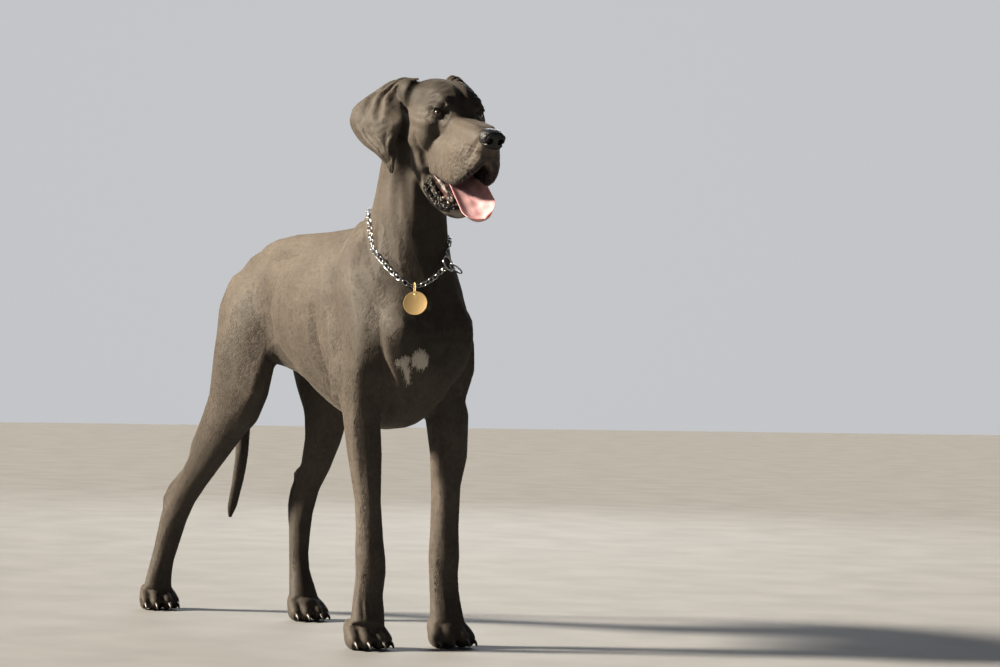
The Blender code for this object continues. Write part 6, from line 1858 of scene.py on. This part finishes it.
# teeth of the lower jaw, small behind the lip
tooth_mat, t, b = plain("tooth_ivory", (0.62, 0.56, 0.44), 0.22)
t.links.new(ramp(t, object_noise(t, 60.0), [(0.3, (0.50, 0.42, 0.30)), (0.7, (0.68, 0.62, 0.50))]), b.inputs["Base Color"])
bm = bmesh.new()
for s in (-1, 1):
    loft(bm, [(s * 0.0170, 0.036, -0.166, 0.0036, 0.0042, 0.0042), (s * 0.0180, 0.0400, -0.157, 0.0034, 0.0040, 0.0040),
              (s * 0.0188, 0.0415, -0.150, 0.0022, 0.0026, 0.0026), (s * 0.0190, 0.0400, -0.1445, 0.0007, 0.0008, 0.0008)],
         sides=14, steps=4, matrix=HEAD)
    for k in range(3):
        l, f = s * (0.0028 + 0.0048 * k), 0.0505 - 0.0022 * k
        loft(bm, [(l, f, -0.169, 0.0020, 0.0020, 0.0020), (l, f + 0.0006, -0.163, 0.0022, 0.0014, 0.0014),
                  (l, f + 0.0008, -0.1595, 0.0018, 0.0007, 0.0007)], sides=10, steps=3, matrix=HEAD, power=2.6)
    for k in range(4):
        l, f, h = s * (0.0235 + 0.0042 * k), 0.022 - 0.0150 * k, -0.158 + 0.0075 * k
        loft(bm, [(l, f, h - 0.006, 0.0030, 0.0048, 0.0048), (l, f, h, 0.0028, 0.0044, 0.0044),
                  (l, f + 0.0008, h + 0.0040, 0.0015, 0.0014, 0.0014)], sides=12, steps=3, matrix=HEAD)
piece("teeth_lower", bm, tooth_mat, "eye")

# claws
claw_mat, t, b = plain("claw_horn", (0.030, 0.026, 0.023), 0.38)
t.links.new(ramp(t, object_noise(t, 420.0, 4.0), [(0.30, (0.014, 0.012, 0.011)), (0.70, (0.060, 0.050, 0.042))]),
            b.inputs["Base Color"])
add_bump(t, b, object_noise(t, 900.0, 2.0), 0.0003, 0.6)
bm = bmesh.new()
for x, u, turn, k in ((-0.0880, 0.026, 0.0, 0.95), (0.0880, 0.038, 0.0, 0.95), (-0.143, -0.855, math.radians(-6), 0.90),
                      (0.060, -0.536, 0.0, 0.90)):
    m = Matrix.Translation(at(x, u, 0)) @ Matrix.Rotation(turn, 4, "Z")
    for px, lead in ((-0.030, -0.012), (-0.0125, 0.0), (0.0125, 0.0), (0.030, -0.012)):
        sp = px * 0.30
        loft(bm, [((px + sp * 0.9) * k, (0.036 + lead) * k, 0.0175 * k, 0.0034, 0.0040, 0.0040),
                  ((px + sp) * k, (0.044 + lead) * k, 0.0165 * k, 0.0038, 0.0044, 0.0040),
                  ((px + sp * 1.1) * k, (0.0515 + lead) * k, 0.0135 * k, 0.0033, 0.0040, 0.0034),
                  ((px + sp * 1.15) * k, (0.0570 + lead) * k, 0.0092 * k, 0.0024, 0.0028, 0.0024),
                  ((px + sp * 1.2) * k, (0.0600 + lead) * k, 0.0050 * k, 0.0012, 0.0012, 0.0012)],
             sides=14, steps=4, matrix=m)
piece("claws", bm, claw_mat, "nose_leather")

# ------------------------------------------------------------ what the dog wears
RING_AT, RING_OUT = (0.0333, 0.0973, 0.7425), (0.440, 0.780, 0.400)
COLLAR = [(0.0493, 0.0698, 0.7820), (0.061, 0.032, 0.791), (0.066, -0.014, 0.803), (0.062, -0.060, 0.818),
          (0.044, -0.103, 0.832), (0.000, -0.138, 0.840), (-0.038, -0.105, 0.841), (-0.0570, -0.0618, 0.8350),
          (-0.0680, -0.0420, 0.8120), (-0.0763, -0.0189, 0.7842), (-0.0761, 0.0185, 0.7530),
          (-0.0697, 0.0574, 0.7245), (-0.0554, 0.0884, 0.7045), (-0.0379, 0.0993, 0.6985),
          (-0.0200, 0.1020, 0.7025), (0.000, 0.1016, 0.7140)]
TAG_AT = 13
REACH = RING_R + RING_WIRE + CHAIN_R * 0.15 + 0.0024
ring_mid = at(*RING_AT)
ring_out = at(*RING_OUT).normalized()


def ring_edge(towards):
    d = towards - ring_mid
    d = (d - ring_out * d.dot(ring_out)).normalized()
    return ring_mid + d * REACH


STEPS = 6
path = [Vector(r) for r in smooth_rows([tuple(ring_edge(at(*COLLAR[0])))] + [tuple(at(*p)) for p in COLLAR]
                                       + [tuple(ring_edge(at(*COLLAR[-1])))], STEPS)]
LIFT = 0.0032
for turn in range(3):
    for i in range(1, len(path) - 1):
        path[i] = (path[i - 1] + path[i] * 2 + path[i + 1]) / 4
    for i in range(1, len(path) - 1):
        near, nn, _, dist = full.find_nearest(path[i])
        signed = dist if (path[i] - near).dot(nn) > 0 else -dist
        if signed < LIFT or turn < 2:
            path[i] = near + nn * LIFT
tag_top = min(path[(TAG_AT + 1) * STEPS - 9:(TAG_AT + 1) * STEPS + 9], key=lambda p: p.z)

steel, t, b = plain("chain_steel", (0.60, 0.60, 0.61), 0.20, 1.0)
t.links.new(ramp(t, object_noise(t, 700.0, 3.0), [(0.30, (0.26, 0.26, 0.27)), (0.60, (0.46, 0.46, 0.47))]),
            b.inputs["Base Color"])
t.links.new(math_node(t, "ADD", math_node(t, "MULTIPLY", object_noise(t, 250.0, 3.0), 0.20), 0.10), b.inputs["Roughness"])
add_bump(t, b, object_noise(t, 1500.0, 2.0), 0.0001, 0.4)


def curb_link(bm, mid, along, out, wide=0.0044, long=0.0059, wire=0.00125, twist=0.30, roll=0.0):
    """one oval link, twisted along its length so that the run of them lies flat"""
    y = along.normalized()
    z = (out - y * out.dot(y)).normalized()
    x = y.cross(z)
    around, sides = 22, 8
    rings = []
    for i in range(around):
        a = 2 * math.pi * i / around
        px = wide * math.copysign(abs(math.cos(a)) ** 0.85, math.cos(a))
        py = long * math.copysign(abs(math.sin(a)) ** 0.95, math.sin(a))
        tx, ty = -wide * math.sin(a), long * math.cos(a)
        tl = math.hypot(tx, ty)
        nx, ny = ty / tl, -tx / tl
        ring_ = []
        for j in range(sides):
            b_ = 2 * math.pi * j / sides
            qx, qy, qz = px + nx * wire * math.cos(b_), py + ny * wire * math.cos(b_), wire * math.sin(b_)
            w = roll + twist * qy / long
            rx, rz = qx * math.cos(w) - qz * math.sin(w), qx * math.sin(w) + qz * math.cos(w)
            ring_.append(bm.verts.new(mid + x * rx + y * qy + z * rz))
        rings.append(ring_)
    for i in range(around):
        for j in range(sides):
            k, l = (i + 1) % around, (j + 1) % sides
            bm.faces.new((rings[i][j], rings[i][l], rings[k][l], rings[k][j]))


lengths = [0.0]
for a, c in zip(path[:-1], path[1:]):
    lengths.append(lengths[-1] + (c - a).length)
PITCH = 0.0092
count = int(round(lengths[-1] / PITCH))
bm = bmesh.new()
for i in range(count):
    s = (i + 0.5) * lengths[-1] / count
    k = max(j for j in range(len(lengths) - 1) if lengths[j] <= s)
    f = (s - lengths[k]) / max(lengths[k + 1] - lengths[k], 1e-9)
    p = path[k].lerp(path[k + 1], f)
    along = path[min(k + 2, len(path) - 1)] - path[max(k - 1, 0)]
    near, nn, _, dist = full.find_nearest(p)
    curb_link(bm, p, along, nn, roll=0.55 if i % 2 else -0.55)
piece("chain_links", bm, steel, "chain_steel", "collar_chain")


def torus(bm, mid, normal, wide, tall, up, wire, around=64, sides=16):
    n_ = normal.normalized()
    v_ = (up - n_ * up.dot(n_)).normalized()
    u_ = v_.cross(n_)
    rings = []
    for i in range(around):
        a = 2 * math.pi * i / around
        c = mid + u_ * wide * math.cos(a) + v_ * tall * math.sin(a)
        out = (u_ * math.cos(a) * tall + v_ * math.sin(a) * wide).normalized()
        rings.append([bm.verts.new(c + out * wire * math.cos(2 * math.pi * j / sides)
                                   + n_ * wire * math.sin(2 * math.pi * j / sides)) for j in range(sides)])
    for i in range(around):
        for j in range(sides):
            k, l = (i + 1) % around, (j + 1) % sides
            bm.faces.new((rings[i][j], rings[i][l], rings[k][l], rings[k][j]))


bm = bmesh.new()
torus(bm, ring_mid, ring_out, RING_R, RING_R, Vector((0, 0, 1)), RING_WIRE * 0.95)
piece("ring_end", bm, steel, "chain_steel", "collar_ring_end")
droop = at(0.734, 0.424, -0.530).normalized()
level = at(0.500, -0.866, 0.0)
level = (level - droop * level.dot(droop)).normalized()
roll = math.radians(15)
face_way = droop.cross(level).normalized() * math.cos(roll) + level * math.sin(roll)
bm = bmesh.new()
torus(bm, ring_mid + droop * 0.0160, face_way, RING_R, RING_R, droop, RING_WIRE * 0.95)
piece("ring_slide", bm, steel, "chain_steel", "collar_ring_slide")

# link and tag, in brass; the tag is left bare
brass, t, b = plain("tag_brass", (0.62, 0.42, 0.17), 0.36, 0.60)
tcn = t.nodes.new("ShaderNodeTexCoord").outputs["Object"]
scr = noise_tex(t, 25.0, 6.0, tcn)
t.links.new(ramp(t, scr, [(0.30, (0.40, 0.275, 0.125)), (0.55, (0.45, 0.320, 0.150)), (0.75, (0.50, 0.365, 0.180))]),
            b.inputs["Base Color"])
t.links.new(math_node(t, "ADD", math_node(t, "MULTIPLY", noise_tex(t, 300.0, 4.0, tcn), 0.20), 0.34), b.inputs["Roughness"])
mp = t.nodes.new("ShaderNodeMapping")
mp.inputs["Scale"].default_value = (2600, 2600, 90)
t.links.new(tcn, mp.inputs["Vector"])
add_bump(t, b, noise_tex(t, 1.0, 2.0, mp.outputs["Vector"]), 0.00008, 0.5)

tag_lo, tag_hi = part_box("tag")
tag_c = (tag_lo + tag_hi) / 2 - SHIFT
link_lo, link_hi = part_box("tag_link")
link_c = (link_lo + link_hi) / 2 - SHIFT
hang = (at(0.02, 0.10, -1.0).normalized() * 0.75 + (tag_c - tag_top).normalized() * 0.25).normalized()
out = at(-0.60, 0.78, 0.18).normalized()
out = (out - hang * out.dot(hang)).normalized()
side_v = hang.cross(out).normalized()
link_n = (side_v + out * 0.55).normalized()
clear = min((q - full.find_nearest(q)[0]).dot(full.find_nearest(q)[1])
            for q in (tag_c + (side_v * math.cos(a) + hang * math.sin(a)) * TAG_R for a in np.linspace(0, 2 * math.pi, 24)))
if clear < 0.0016:
    tag_c = tag_c + out * min(0.012, 0.0016 - clear)
hole = tag_c - hang * (TAG_R - 0.0046)
reach = (hole - tag_top).length / 2 + 0.0008
bm = bmesh.new()
torus(bm, (hole + tag_top) / 2, link_n, 0.0040, reach, hang, 0.00115, around=48, sides=12)
piece("link_of_tag", bm, brass, "tag_brass", "tag_link")

bm = bmesh.new()
rim_r = [(0.0, 0.00062), (TAG_R - 0.0020, 0.00062), (TAG_R - 0.0016, 0.00075), (TAG_R - 0.0008, 0.00092),
         (TAG_R - 0.0003, 0.00080), (TAG_R - 0.0001, 0.00045), (TAG_R - 0.0001, -0.00045), (TAG_R - 0.0003, -0.00080),
         (TAG_R - 0.0008, -0.00092), (TAG_R - 0.0016, -0.00075), (TAG_R - 0.0020, -0.00062), (0.0, -0.00062)]
prof = [bm.verts.new((r, 0, z)) for r, z in rim_r]
for a, c in zip(prof[:-1], prof[1:]):
    bm.edges.new((a, c))
bmesh.ops.spin(bm, geom=bm.verts[:] + bm.edges[:], axis=(0, 0, 1), cent=(0, 0, 0), steps=96, angle=2 * math.pi)
bmesh.ops.remove_doubles(bm, verts=bm.verts, dist=1e-6)
bmesh.ops.recalc_face_normals(bm, faces=bm.faces)
basis = Matrix((side_v, hang, side_v.cross(hang))).transposed().to_4x4()
bm.transform(Matrix.Translation(tag_c) @ basis)
tag_me = bpy.data.meshes.new("tag")
bm.to_mesh(tag_me)
bm.free()
tag_ob = bpy.data.objects.new("tag_part", tag_me)
work.objects.link(tag_ob)
bm = bmesh.new()
bmesh.ops.create_cone(bm, cap_ends=True, segments=40, radius1=0.0026, radius2=0.0026, depth=0.01,
                      matrix=Matrix.Translation(hole) @ basis)
me = bpy.data.meshes.new("hole")
bm.to_mesh(me)
bm.free()
hole_ob = bpy.data.objects.new("hole_part", me)
work.objects.link(hole_ob)
bo = tag_ob.modifiers.new("hole", "BOOLEAN")
bo.operation = "DIFFERENCE"
bo.solver = "EXACT"
bo.object = hole_ob
tag_me = evaluated(tag_ob)
for ob in (tag_ob, hole_ob):
    bpy.data.objects.remove(ob, do_unlink=True)
tag_piece = piece("tag_disc", tag_me, brass, "tag_brass", "tag")
bpy.context.view_layer.objects.active = tag_piece
tag_piece.data.set_sharp_from_angle(angle=math.radians(32))


# ------------------------------------------------------------ floor, light and camera
floor_mat, t, b = plain("floor_pale", (0.60, 0.59, 0.575), 0.75)
b.inputs["Specular IOR Level"].default_value = 0.12
t.links.new(ramp(t, object_noise(t, 5.0, 4.0), [(0.35, (0.180, 0.182, 0.186)), (0.65, (0.205, 0.207, 0.211))]), b.inputs["Base Color"])
bm = bmesh.new()
bmesh.ops.create_grid(bm, x_segments=24, y_segments=24, size=16.0)
me = bpy.data.meshes.new("floor")
bm.to_mesh(me)
bm.free()
me.materials.append(floor_mat)
floor = bpy.data.objects.new("floor", me)
bpy.context.scene.collection.objects.link(floor)


def lamp(name, place, target, size, power, colour):
    d = bpy.data.lights.new(name, "AREA")
    d.shape = "DISK"
    d.size = size
    d.energy = power
    d.color = colour
    ob = bpy.data.objects.new(name, d)
    ob.location = place
    ob.rotation_euler = (Vector(target) - Vector(place)).to_track_quat("-Z", "Y").to_euler()
    bpy.context.scene.collection.objects.link(ob)


CAM_ROLL = -1.5
MIDDLE = (0.0, 0.0, 0.60)
# the camera looks along (0.5, 0.866), its left is (-0.866, 0.5); the key comes from the dog's right
sun = bpy.data.lights.new("key", "SUN")
sun.energy = 16.5
sun.angle = math.radians(9)
sun.color = (1.0, 0.885, 0.71)
ob = bpy.data.objects.new("key", sun)
ob.rotation_euler = Vector((0.79, -0.38, -0.46)).to_track_quat("-Z", "Y").to_euler()
bpy.context.scene.collection.objects.link(ob)
lamp("fill", (0.6, -5.0, 2.2), MIDDLE, 3.0, 6, (0.90, 0.94, 1.0))
lamp("back", (2.6, 3.8, 2.6), MIDDLE, 2.5, 90, (0.95, 0.97, 1.0))

# the studio is brighter behind the dog than in front of it
world = bpy.data.worlds.new("studio")
bpy.context.scene.world = world
world.use_nodes = True
t = world.node_tree
bg = t.nodes["Background"]
way = t.nodes.new("ShaderNodeVectorMath")
way.operation = "DOT_PRODUCT"
t.links.new(t.nodes.new("ShaderNodeTexCoord").outputs["Generated"], way.inputs[0])
way.inputs[1].default_value = (0.46, 0.866, 0.06)
t.links.new(ramp(t, way.outputs["Value"], [(0.0, (0.060, 0.063, 0.070)), (0.45, (0.085, 0.088, 0.096)), (0.82, (0.50, 0.51, 0.53)),
                                           (1.0, (0.56, 0.57, 0.59))]), bg.inputs["Color"])
bg.inputs["Strength"].default_value = 1.0

cam_data = bpy.data.cameras.new("camera")
cam_data.lens = 100.8
cam_data.sensor_width = 36.0
cam_data.clip_end = 60
cam = bpy.data.objects.new("camera", cam_data)
bpy.context.scene.collection.objects.link(cam)
ahead = Vector((0.5, math.sqrt(0.75), math.tan(math.radians(0.653)))).normalized()
right = ahead.cross(Vector((0, 0, 1))).normalized()
up = right.cross(ahead)
turn = Matrix.Rotation(math.radians(CAM_ROLL), 3, ahead)
right, up = turn @ right, turn @ up
cam.matrix_world = Matrix.Translation((-2.5400, -5.0774, 0.55)) @ Matrix((right, up, -ahead)).transposed().to_4x4()
bpy.context.scene.camera = cam
bpy.context.scene.view_settings.view_transform = "Standard"

for ob in list(work.objects):
    bpy.data.objects.remove(ob, do_unlink=True)
bpy.data.collections.remove(work)
